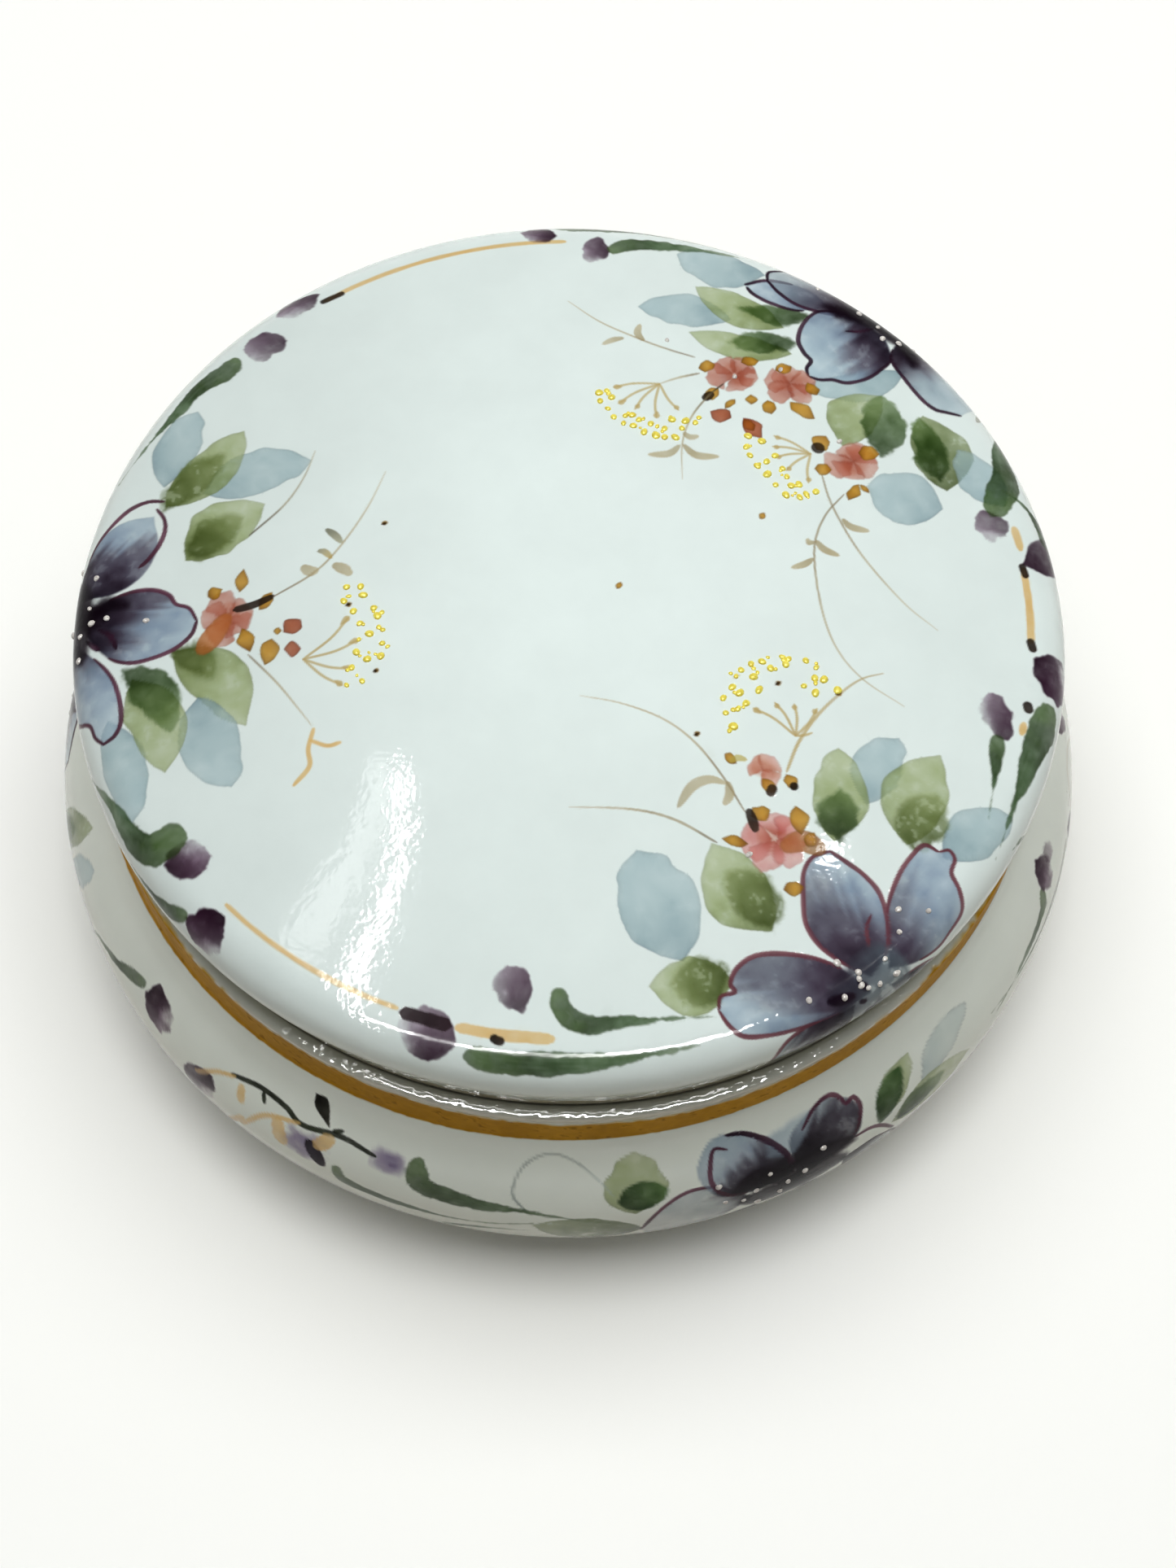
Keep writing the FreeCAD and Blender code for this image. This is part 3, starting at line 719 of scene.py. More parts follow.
def paintLidFront(c):
    # the spray at the lower right
    for tone, base, tip, width, bow in [
            ("mist", (10.6, -38.8), (6.3, -28), 3.9, 0.02), ("mist", (28.2, -22.8), (31.8, -15.7), 2.4, 0.08),
            ("mist", (35.3, -28), (42.8, -23.2), 2.5, 0.05),
            ("spring", (18.9, -35.8), (13.4, -27.3), 3.2, 0.06),
            ("olive", (18.9, -35.6), (14.8, -30), 2.3, -0.1),
            ("spring", (25, -26.8), (25.8, -17), 2.7, -0.04),
            ("moss", (25.2, -26.7), (25.8, -21.4), 1.9, 0),
            ("spring", (32, -26.8), (35.8, -17.3), 3.3, 0.1),
            ("olive", (32.5, -27.3), (35.2, -21.6), 2.5, 0.02),
            ("spring", (15.2, -40.6), (7.4, -41.2), 2.8, 0.04),
            ("olive", (15, -40), (9.5, -41), 2.4, 0.05)]:
        leaf(c, base, tip, width, tone, bow)
    # greyer, darker washes for the three petals that run down the lid's side: painted shade
    sideShadeWash = ("#535a66", "#66727e", "#7f8f9a")
    plainPetal(c, (30, -42), (36, -53), 4.2, ink=maroonInk, shades=sideShadeWash)
    plainPetal(c, (27, -42.5), (22, -54), 4.2, ink=maroonInk, shades=sideShadeWash)
    plainPetal(c, (31, -40.5), (43.5, -41.5), 3.2, ink=maroonInk, shades=sideShadeWash)
    plum = ("#180c17", "#322231", "#575560")
    petal(c, [(30, -38.8), (29.8, -36), (29.9, -33), (31, -30), (32.3, -28), (33.7, -26.7), (35.1, -27.3)],
          [(30, -38.8), (33, -38.2), (35.6, -36.8), (36.7, -35), (37.6, -33), (37, -31), (36.2, -29.4),
           (36.6, -28), (36.1, -27.1), (35.1, -27.3)],
          heart=0.47, lean=0.85, lines=((0.35, 1), (0.22, 1)), ink=maroonInk, night=plum, fade=0.65)
    petal(c, [(28.2, -39.8), (25.8, -38.8), (23.4, -37.1), (22.1, -35), (21.9, -32.4), (22, -30),
              (22.9, -28.4), (24.6, -27.7)],
          [(28.2, -39.8), (29.6, -37.5), (29.8, -34.5), (29.2, -31.8), (27.8, -30), (26.2, -28.8),
           (24.6, -27.7)],
          heart=0.6, lean=0.5, lines=((0.08, 1), (0.15, 1)), ink=maroonInk, night=plum, fade=0.6)
    inkLine(c, [(28.3, -33.8), (27.8, -35.2), (28, -37)], 0.2, maroonInk)
    petal(c, [(28.4, -41.2), (25.5, -43.3), (22, -44.7), (19, -45.5), (16.2, -45.7), (14.8, -44.8),
              (13.8, -43.4)],
          [(28.4, -41.2), (26, -39.5), (23.5, -38.4), (20.5, -37.9), (17.4, -38.1), (15.6, -39.3),
           (14.9, -40.8), (15.3, -41.6), (14, -42.1), (13.8, -43.4)],
          heart=0.62, lean=-0.95, lines=((0.35, 1), (0.2, 1)), ink=maroonInk, night=plum, fade=0.45)
    lay(c, insideOf(c, [(23.6, -41.6), (28, -44.6), (34.5, -40.5)],
                    [(23.6, -41.6), (28.4, -36.6), (34.5, -40.5)]),
        ["#2a2430", "#4b555e", "#55626a"], alpha=0.92, soft=0.9, wobble=0.9, specks=0.3)
    for spots, width in (([(24, -42.3), (25.6, -42), (26.8, -41.6)], 0.6),
                         ([(26.8, -40.3), (27.6, -40.6), (28, -41)], 0.35),
                         ([(27.4, -42.2), (28.4, -42.2)], 0.3), ([(29.4, -43.6), (31, -44)], 0.9)):
        stroke(c, spots, width, ["#0f0611", "#1c0c18"], soft=0.25, alpha=0.95)
    drops("lidDrops", (26.9, -39.4), (27.3, -40.6), (24.9, -38.6), (25.7, -41.8), (22.2, -42.2),
          (28.1, -40.8), (29.3, -40.4), (29.5, -38), (31, -39.3), (30.9, -35.4), (33.8, -33.2), (27, -40),
          (30.9, -33.2))
    floret(c, (19.4, -26.6), 3.4, 100, shades=("#aa4e48", "#c46c64", "#d28a82"))
    floret(c, (18.4, -19.7), 2.2, 60, petals=3, shades=("#ad5238", "#bd6a4c", "#cf8478"))
    stroke(c, [(20.3, -27.4), (22, -26.8), (23.8, -27.6)], 1.1, ["#a8602a", "#9c5822", "#7c5220"],
           swell=(0.3, 0.3), alpha=0.85, soft=0.2, pool=0.2)
    for spot, long, wide, turn, inked in [
            ((18.9, -21.3), 1.9, 1.1, 130, 0), ((21.1, -20.8), 1.8, 1.2, 120, 0.45),
            ((18.1, -24.1), 2, 1.6, 20, 0), ((21.7, -24.7), 3, 1.8, 100, 0),
            ((15.6, -27), 2.6, 1.2, 170, 0), ((21, -31.5), 2, 1.5, 10, 0), ((15.4, -18.6), 1.5, 1, 140, 0),
            ((22.8, -26.6), 1.6, 1.3, 60, 0)]:
        bud(c, spot, long, wide, turn, "amber", inked)
    for spots in ([(16.9, -23.7), (17.3, -24.8), (17.6, -26)], [(19.4, -21.3), (19, -22.2)]):
        stroke(c, spots, 0.5, ["#1c1510", "#3a2a20"], swell=(0.4, 0.4), soft=0.1, relief=0.4)
    drops("lidDrops", (16.9, -28.3))
    umbel(c, "lidGrains", (21.7, -16),
          [(17.7, -13.2), (19.8, -12.5), (21.7, -12.6), (23.9, -13), (23.3, -15.6)],
          [(14.8, -12.2), (15, -13.8), (15.7, -15.2), (15.7, -11), (16.1, -9.8), (17.6, -8.4), (18.7, -8.1),
           (19.5, -8.8), (20.7, -7.5), (21.3, -7.7), (21, -8.3), (23, -7.8), (24, -8.5), (23.8, -9.7),
           (24.7, -9.8), (22.7, -10.6), (23.8, -11.3), (26, -10.9), (17.8, -9.8), (18.3, -11.2),
           (16.4, -11.6), (16.2, -13.3), (17, -12.7), (16.6, -9.1)])
    tendril(c, [(20.7, -19.8), (22, -16.6), (24, -13.6), (26.5, -11), (28.5, -9.5), (30.6, -8.8)], 0.17,
            ("#b39b62", "#b39b62", "#a3936c"))
    tendril(c, [(16.6, -24), (14.6, -20.5), (12, -17), (9, -14.6), (5, -13), (1, -12.2)])
    tendril(c, [(13.9, -27.2), (10, -25), (6, -24), (0, -23.8)], 0.13, ("#5e5644", "#a3936c", "#b8ae94"))
    sprig(c, [(10.2, -23.8), (11.6, -21.6), (13.3, -20.8), (15, -21.2)], 0.5)
    sprig(c, [(15, -20.9), (15.2, -22.3), (14.6, -23.4)], 0.45)
    sprig(c, [(15.2, -19), (16, -18.5), (17, -18.7)], 0.35, ("#b3a44a", "#b8a860"))
    for x, y in [(12.2, -16.1), (26.1, -11.2), (20.2, -10.4)]:
        bud(c, (x, y), 0.7, 0.5, 30, "amber", inked=0.9)


def ringLine(canvas, radius, start, end, width):
    turn = np.radians(np.linspace(start, end, max(3, int(abs(end - start) / 3))))
    goldLine(canvas, np.column_stack([radius * np.cos(turn), radius * np.sin(turn)]), width)


def paintLidBorder(c):
    # gilded line broken by violet dabs and green strokes
    ringLine(c, 46.2, 125, 91, 0.3)
    ringLine(c, 46.1, 5.5, -5, 0.42)
    ringLine(c, 46.3, 11.5, 8.5, 0.4)
    ringLine(c, 46.4, -16.8, -18, 0.4)
    ringLine(c, 46, -134.2, -110, 0.26)
    ringLine(c, 46.2, -102.5, -92, 0.55)
    for base, tip, width, depth in [
            ((-35, 31.4), (-30.2, 32.3), 1.9, 0.75), ((-31.8, 36), (-27.3, 39), 1.6, 0.85),
            ((-5.5, 48), (-1.6, 47), 1.7, 1), ((1, 45), (4.2, 44.6), 1.9, 0.85),
            ((41.3, 8.8), (44.6, 10), 1.9, 0.7), ((56, 10), (45.8, 5), 2.7, 1),
            ((51, -9.5), (46, -6), 2.6, 1.1), ((41, -10), (42.7, -15.3), 1.4, 0.85),
            ((-33.8, -28), (-38.5, -28.8), 1.9, 1), ((-36.3, -36.7), (-32.1, -34.1), 2.4, 1.15),
            ((-13.2, -43.1), (-12.9, -48.4), 2.7, 0.85), ((-5.6, -39.3), (-4.3, -43.6), 1.7, 0.8),
            ((-40, 42), (-38, 37), 1.7, 0.8)]:
        dab(c, base, tip, width, depth)
    leaf(c, (44.8, 12), (40.2, 18.8), 2.4, "mist", 0.05)
    comma(c, [(-8.8, -47.6), (-7, -48.3), (-2, -48.5), (4, -48.1), (12, -46.6)], 1.25, fall=1.5)
    for spots, width in [
            ([(-35.6, 29.8), (-36.6, 28.2), (-39.3, 26.2), (-42.5, 21.5), (-47, 15)], 1.1),
            ([(-40.6, 36), (-43, 31.5), (-46.6, 26), (-49.4, 17.5)], 1),
            ([(-37.2, -25.8), (-39.6, -27.2), (-42, -25.8), (-44.6, -22), (-49, -18)], 1.7),
            ([(-36.4, -33.8), (-39, -33), (-42, -30), (-45.5, -25.5)], 0.85),
            ([(-1, -41.8), (-0.5, -43.7), (1.4, -44.9), (5, -44.5), (14, -43.9)], 0.95),
            ([(4.3, 44.8), (6.5, 45.8), (12, 45.6), (20, 44.4)], 0.9),
            ([(-1.5, 49.5), (5, 49.3), (13, 47.8), (22, 45)], 1.2),
            ([(41.6, -15.2), (41.2, -18.5), (40.2, -23.5)], 0.8),
            ([(47.5, -11.6), (46, -15), (43.5, -20.5), (41, -27.5)], 1.7),
            ([(43.4, 11.5), (45.1, 15.5), (45.2, 20), (47.5, 22.8), (54, 20)], 1.7),
            ([(50.5, -27.5), (47.5, -24.9), (45, -25.2), (42.4, -27.4)], 1),
            ([(50, 8.5), (47.5, 12), (44.5, 14)], 1.1)]:
        comma(c, spots, width)
    bar = sidesOf((-15.6, -43.5), (-10.6, -45), 0.62, (0.9, 1, 1, 1, 1, 1, 1, 1, 1, 0.9), 0, 0.05)
    lay(c, insideOf(c, *bar), ["#231519", "#1a1012", "#231519"], soft=0.1, alpha=0.97, relief=0.4, wobble=0.2)
    for spots, width in [([(-7, -45.9), (-6.5, -46.3), (-5.9, -46.4)], 0.42),
                         ([(45.8, -3.8), (46.1, -5.2)], 0.45), ([(44.9, -11), (45.1, -12)], 0.5),
                         ([(45.7, 5), (46.1, 3.4)], 0.4), ([(-27, 37.6), (-24.5, 39)], 0.35)]:
        stroke(c, spots, width, ["#17110d", "#1f140f"], swell=(0.08, 0.08), soft=0.12, relief=0.4)
    sprig(c, [(42.8, 23.1), (44, 25), (45.5, 26.7)], 0.45, ("#6e6c58", "#8b8a74"))


lidRimReach = lidShape.reachOf((lidRim, form["baseHeight"]))


def tintRings(canvas, window, away, tints, patches=1.0):
    # soft rings of colour, each with its middle, width, strength and shade
    for middle, wide, strength, shade in tints:
        cover = (strength * np.exp(-((away - middle) / wide) ** 2) * patches)[..., None]
        canvas.colour[window] += ((hexParts(shade) - canvas.colour[window]) * cover).astype(np.float32)


def paintLidEdgeReflectionAndShade(c):
    # low on the side, a tan painted reflection of the ochre band below, with dark lines of painted shade in
    # it and near the rim
    window = c.window(c.low, c.high)
    x, y = c.places(window)
    tintRings(c, window, np.hypot(x, y), (
        (lidRimReach - 2.9, 1.0, 0.9, "#a08552"), (lidRimReach - 4.0, 0.15, 0.75, "#4f3d22"),
        (lidRimReach - 2.4, 0.18, 0.6, "#5a4729"), (lidRimReach - 1.2, 0.35, 0.85, "#3a2d18")),
        0.6 + 0.6 * c.broad[window])


for painter in (paintLidEdgeReflectionAndShade, paintLidLeft, paintLidRight, paintLidFront, paintLidBorder):
    painter(lidCanvas)
lidCanvas.close()
print("lid painted")

# The wall of the base laid flat: degrees round it by millimetres down from the collar's foot.
seam = 120               # degrees, at the back; the wall is painted from here round to here again
wallLow = ((seam - 360) * wallScale, -46)
wallHigh = (seam * wallScale, 1)
# the lid's glaze white, painted warmer and greyer on the base: painted shade for the warm light that the
# floor throws onto it
baseGlazeWarmShade = "#e2e9df"
baseCanvas = Canvas(wallLow, wallHigh, baseGlazeWarmShade)


def onWall(*spots, middle=0):
    # degrees round from the middle, and millimetres down
    return [((middle + azimuth) * wallScale, -drop) for azimuth, drop in spots]


band = {
    "top": 5.6, "bottom": 10.8,     # millimetres below the collar's foot
    "dark": "#9b6d0c", "light": "#d39a14", "spots": "#63400a",
}


def paintBand(c):
    # worn ochre gilding, laid round the neck with a dry brush
    window = c.window((c.low[0], -band["bottom"] - 1.4), (c.high[0], -band["top"] + 2.0))
    x, y = c.places(window)
    shape = x.shape
    long = np.broadcast_to(cloud((1, shape[1]), 50, True), shape)
    patch = cloud(shape, 9, True)
    speck = cloud(shape, 4, True)
    drop = -y
    turned = np.radians(x / wallScale + 90)
    top = band["top"] - 1.3 * np.minimum(np.abs(turned) / 0.84, 1) ** 2
    bottom = band["bottom"] - 0.9 * np.sin(turned)
    upper = smooth((drop - top + 0.4 - 0.5 * patch - 0.5 * long) / 0.6)
    lower = smooth((bottom - 0.15 * patch - drop) / 0.25)
    pooled = 0.25 * np.exp(-np.maximum(bottom - drop, 0) / 0.5)
    tone = np.clip(0.55 + 0.3 * (long - 0.5) + 0.35 * (patch - 0.5) - pooled, 0, 1)[..., None]
    paint = hexParts(band["dark"]) * (1 - tone) + hexParts(band["light"]) * tone
    spots = smooth((speck * patch - 0.44) / 0.3)[..., None]
    paint = paint * (1 - 0.5 * spots) + hexParts(band["spots"]) * 0.5 * spots
    cover = (upper * lower)[..., None]
    c.colour[window] += ((paint - c.colour[window]) * cover).astype(np.float32)
    c.gilt[window] += ((1 - c.gilt[window]) * cover[..., 0]).astype(np.float32)
    c.relief[window] += ((0.5 * patch - c.relief[window]) * cover[..., 0]).astype(np.float32)


def paintLedgeShade(c):
    # painted shade along the ledge: grey-olive over its top and a dark line in the crease under the lid's
    # rim, with a tan tint just above the band
    window = c.window((c.low[0], -7.5), (c.high[0], 0.9))
    drop = -c.places(window)[1]
    tintRings(c, window, drop, (
        (2.6, 2.2, 0.5, "#a5a296"), (3.4, 0.8, 0.35, "#6e6848"), (3.25, 0.13, 0.9, "#1d1a10"),
        (5.2, 0.5, 0.5, "#c9b49c")))


def wallLeaf(c, tone, base, tip, width, bow=0.0, blunt=0.0):
    leaf(c, *onWall(base, tip), width, tone, bow, blunt)


def wallPetal(c, left, right, **look):
    look.setdefault("night", ("#060206", "#10070e", "#2a1f2c"))
    petal(c, onWall(*left), onWall(*right), **look)


def wallFlower(c, azimuth, drop, turn=0.0, petals=6, reach=9.0, width=3.9):
    # a whole flower on the belly, for the sides
    middle = np.array(onWall((azimuth, drop))[0])
    for k in range(petals):
        angle = math.radians(turn + 360 / petals * k + 14 * (random.random() - 0.5))
        way = np.array([math.cos(angle), math.sin(angle)])
        long = reach * (0.9 + 0.2 * random.random())
        plainPetal(c, middle + way * 1.2, middle + way * long, width, 0.08 * (random.random() - 0.5),
                   heart=0.5 + 0.2 * random.random(), lean=random.random() - 0.5, ink=blackInk)
    heartOf(c, [tuple(middle + (-2.2, 0.6)), tuple(middle + (2.2, -0.6))], 2.6)
    for k in range(11):
        angle = 2.4 * k
        spot = middle + np.array([math.cos(angle), math.sin(angle)]) * (0.8 + 0.3 * k)
        drops("baseDrops", tuple(spot))


def paintBaseFront(c):
    # the belly as seen from the front, from its left end to its right
    wallLeaf(c, "spring", (-82.9, 20.4), (-82.7, 12.7), 3.1, blunt=0.22)
    for tone, base, tip, width, bow in [
            ("deep", (-84.8, 18.4), (-79.4, 17.4), 2, 0),
            ("sage", (-82, 23.8), (-93.6, 22), 2.8, 0.05), ("spring", (-54.8, 20), (-49, 14.6), 1.8, 0.05),
            ("deep", (-54.9, 20.4), (-50.4, 14.9), 1.6, 0.05),
            ("haze", (-49, 19.3), (-39.8, 15.4), 1.9, 0.08),
            ("spring", (-53.5, 22), (-41.6, 21.6), 2.4, 0.05),
            ("moss", (-53, 22.4), (-46, 20.8), 1.7, 0.05)]:
        wallLeaf(c, tone, base, tip, width, bow)
    for base, tip, width in (((-70, 25), (-75, 34), 3.8), ((-64.5, 25), (-61, 34.5), 3.9),
                             ((-60, 23), (-52.5, 28), 3)):
        plainPetal(c, *onWall(base, tip), width, ink=blackInk, shades=("#525c60", "#6d7a80", "#8a979c"))
    wallPetal(c, [(-70.5, 22), (-76, 27.5), (-81, 27), (-82.4, 24.2)],
              [(-70.5, 22), (-73.4, 19.2), (-75.6, 18.3), (-77.8, 18.5), (-79.8, 19.8), (-81.3, 21.7),
               (-82.4, 24.2)],
              heart=0.2, lines=((0, 0), (0.2, 1)), ink=plumInk, shades=("#6f7c86", "#97a2a8", "#b3b8bd"))
    wallPetal(c, [(-70, 21.2), (-73.6, 20.4), (-75.6, 18), (-76, 15.6), (-74.6, 13.4), (-72.8, 12.7)],
              [(-70, 21.2), (-66, 20.4), (-65.9, 18), (-67.4, 15.4), (-69.6, 13.6), (-72.8, 12.7)],
              heart=0.5, lean=-0.5, lines=((0, 0), (0, 0)), shades=("#4c5664", "#74869a", "#8ea6b4"))
    wallPetal(c, [(-65, 21.4), (-65.6, 18.6), (-65.4, 15.8), (-63, 14.2), (-60.4, 13.3)],
              [(-65, 21.4), (-60, 20.6), (-57.6, 19.4), (-56.9, 17), (-57.6, 14.9), (-60.4, 13.3)],
              heart=0.85, lean=-0.5, lines=((0, 0), (0, 0)), shades=("#5a6472", "#66727f", "#8092a0"))
    lay(c, insideOf(c, onWall((-68.4, 17), (-67.6, 14.6), (-62, 14)),
                    onWall((-68.4, 17), (-65, 17.8), (-62, 14))),
        ["#7d93a4", "#8ba2b0"], alpha=0.7, soft=0.9, wobble=0.8)
    for width, ink, spots in [
            (0.26, plumInk, [(-72.4, 14.5), (-73.9, 14.1), (-74.6, 15.9), (-74.7, 17.8), (-73.9, 19.6),
                             (-72.7, 20.6), (-71, 21)]),
            (0.36, blackInk, [(-72.3, 13), (-70.2, 13.4), (-68, 14.9), (-66.4, 17), (-65.8, 18.8),
                              (-65.9, 20.4)]),
            (0.26, plumInk, [(-63.8, 15.5), (-62, 14), (-60, 13.4), (-58.8, 13.9), (-58.1, 15.2),
                             (-57.1, 15), (-56.7, 16.5), (-57.5, 18.6), (-58.2, 19.6)]),
            (0.26, plumInk, [(-58.4, 20), (-56.2, 20.2), (-54.6, 21.3), (-53.1, 23.6)])]:
        inkLine(c, onWall(*spots), width, ink)
    heartOf(c, onWall((-72, 20.4), (-69.5, 19.2), (-66.6, 20.6), (-63, 19.8), (-58.6, 20.4)), 1.5)
    heartOf(c, onWall((-71.6, 23), (-66, 23), (-59.5, 22.6)), 2)
    drops("baseDrops", *onWall((-74, 18.7), (-73.4, 21.6), (-71.4, 22.4), (-70, 21.2), (-68.3, 19.3),
                               (-66.4, 21.9), (-64.4, 21.2), (-62, 19), (-67.3, 23.4), (-69.8, 24)))
    # a petal left unpainted inside its outline
    stroke(c, onWall((-94.2, 19.6), (-95.8, 17.2), (-94.8, 14), (-92, 12.5), (-89, 13.4), (-86.5, 15.6),
                     (-85.2, 17.4)),
           0.13, ["#6d7a74", "#8b978f", "#9fb0a8"], swell=(0.2, 0.3), alpha=[0.9, 0.7, 0.5], soft=0.1,
           least=0.5)
    for spots, width in [
            ([(-106.3, 15.6), (-105.4, 18.3), (-100.5, 19.3), (-93.5, 19.8), (-85.6, 21.6)], 1.2),
            ([(-115, 20.4), (-113.8, 22.2), (-108, 22.8), (-100, 22.8), (-93.6, 21.7)], 0.7),
            ([(-103, 25.6), (-99.5, 24.2), (-94, 23.4)], 0.5),
            ([(-22.4, 17.4), (-24.2, 19.3), (-29, 19.9), (-36.2, 21.2)], 0.8),
            ([(-13.8, 20.6), (-18.5, 21.6), (-27, 21.2), (-37.2, 20.3)], 0.55),
            ([(-144.2, 17.2), (-148.5, 19.4), (-154, 21.6), (-156, 25.5)], 0.75),
            ([(-35, 27), (-31.5, 26.3), (-26, 26.7)], 0.8)]:
        comma(c, onWall(*spots), width)
    softDab(c, onWall((-109.2, 16.6))[0], 1.35)
    softDab(c, onWall((-108.8, 17))[0], 0.7, ("#2f1c46", "#3c2a58"))
    softDab(c, onWall((-118.8, 19.4))[0], 1.9)
    for base, tip, width, depth in [
            ((-134.4, 24.3), (-131.4, 18.9), 2.1, 1), ((-139.6, 20.4), (-142.2, 15.4), 2.2, 1.15),
            ((-20.8, 18.9), (-20.3, 14.6), 1.6, 1), ((-9.6, 24.6), (-12.6, 20.2), 1.8, 1.1),
            ((-147, 27), (-150, 31.5), 1.8, 1.1), ((-17.5, 17), (-18.6, 15.6), 1, 0.5)]:
        dab(c, *onWall(base, tip), width, depth)
    twig = ["#0b0e07", "#171c0e", "#0c0f08"]
    stroke(c, onWall((-129.2, 16.6), (-125.5, 15.7), (-122, 16), (-119.6, 16.9), (-115, 16),
                     (-110.9, 16.6)), 0.34,
           twig, swell=(0.3, 0.3), soft=0.12, least=0.45, relief=0.4)
    for spots in ([(-125, 15.9), (-124.4, 17.3)], [(-116.2, 15.9), (-114.8, 15.2)]):
        stroke(c, onWall(*spots), 0.25, twig, swell=(0.3, 0.4), soft=0.1)
    lay(c, insideOf(c, onWall((-119.4, 12.9), (-118.9, 14.2), (-116.6, 15.6)),
                    onWall((-119.4, 12.9), (-118, 12.8), (-117.2, 13.8), (-116.6, 15.6))),
        ["#080704", "#0f0d06"], relief=0.5)
    stroke(c, onWall((-118.4, 18.5), (-117.6, 19.6), (-116.6, 21.2)), 0.9, ["#0f0810", "#180d1a"],
           swell=(0.4, 0.4), soft=0.2)
    for spots, width in [([(-133.5, 20.2), (-131, 17.8), (-128.8, 16.6)], 0.28),
                         ([(-127.6, 17.2), (-127.2, 19)], 0.45), ([(-122.3, 18.2), (-121.6, 21)], 0.75),
                         ([(-126.8, 23), (-124, 18.6), (-120, 16.9)], 0.3),
                         ([(-116.2, 16.9), (-117.3, 18.6)], 0.8), ([(-128.6, 24.6), (-126.6, 21.4)], 0.4)]:
        goldLine(c, onWall(*spots), width)
    stroke(c, onWall((-9.5, 25), (-9.6, 21), (-6.5, 18.3), (-2.5, 18.8), (-0.3, 22), (-1.8, 25)), 0.22,
           ["#b6ae95", "#c2bca8", "#b6ae95"], swell=(0.3, 0.3), alpha=0.6, soft=0.3, least=0.5)


def paintBaseLeft(c):
    for tone, base, tip, width, bow in [
            ("sage", (-168.8, 24.6), (-163.6, 14.8), 2.1, 0.02), ("moss", (-168.6, 24), (-165.6, 18), 1.3, 0),
            ("mist", (-163, 23), (-159, 16.4), 1.8, 0), ("spring", (-196, 31), (-205, 36), 2.4, 0),
            ("mist", (-199, 16), (-209, 13), 2.4, 0.05), ("moss", (-198, 20), (-208, 19), 1.8, 0.1),
            ("spring", (-198, 21), (-210, 20), 2.6, 0.1), ("mist", (-172, 30), (-165, 35), 2.4, 0)]:
        wallLeaf(c, tone, base, tip, width, bow)
    wallFlower(c, -186, 23.5, 18, 6, 11, 4.4)
    comma(c, onWall((-157, 33), (-160, 31), (-163.5, 27), (-165, 23)), 1)


def paintBaseBack(c):
    for tone, base, tip, width, bow in [
            ("mist", (40, 18), (30, 14.5), 2.4, 0.06), ("spring", (41, 23), (29, 21), 2.6, 0.05),
            ("moss", (40.5, 23), (33, 21.8), 1.8, 0.05), ("sage", (43, 28), (34, 33), 2.4, 0),
            ("spring", (66, 18), (77, 14.6), 2.6, 0.05), ("moss", (66, 18.2), (72, 16), 1.8, 0.05),
            ("mist", (66, 23), (78, 23.4), 2.7, 0.04), ("mist", (50, 31), (44, 36), 2.4, 0),
            ("spring", (63, 29), (72, 33.5), 2.5, 0), ("olive", (63, 29), (68.5, 32), 1.7, 0)]:
        wallLeaf(c, tone, base, tip, width, bow)
    wallFlower(c, 53, 22.5, 5, 6, 10, 4.1)
    for middle in (6, 100, -218):
        dab(c, *onWall((0, 24), (2, 19.4), middle=middle), 1.8, 1)
        comma(c, onWall((3, 17), (5.5, 19.4), (11, 19.8), (17, 21), middle=middle), 1)
        comma(c, onWall((-3, 26.8), (-5.5, 24.4), (-10, 24.4), (-15, 23), middle=middle), 0.9)
        goldLine(c, onWall((1, 29), (6, 28), (12, 29), middle=middle), 0.3)
        dab(c, *onWall((-6, 18), (-8, 14.4), middle=middle), 1.4, 0.9)


for painter in (paintLedgeShade, paintBand, paintBaseBack, paintBaseLeft, paintBaseFront):
    painter(baseCanvas)
baseCanvas.close()
print("base painted")


# Painted skins: the turned form as a mesh that is finer where the paint changes.
sectors = 2560           # finest steps round the axis
cellBudget = 185000      # for each skin
paintedZone, innerZone, underZone = 0, 3, 4


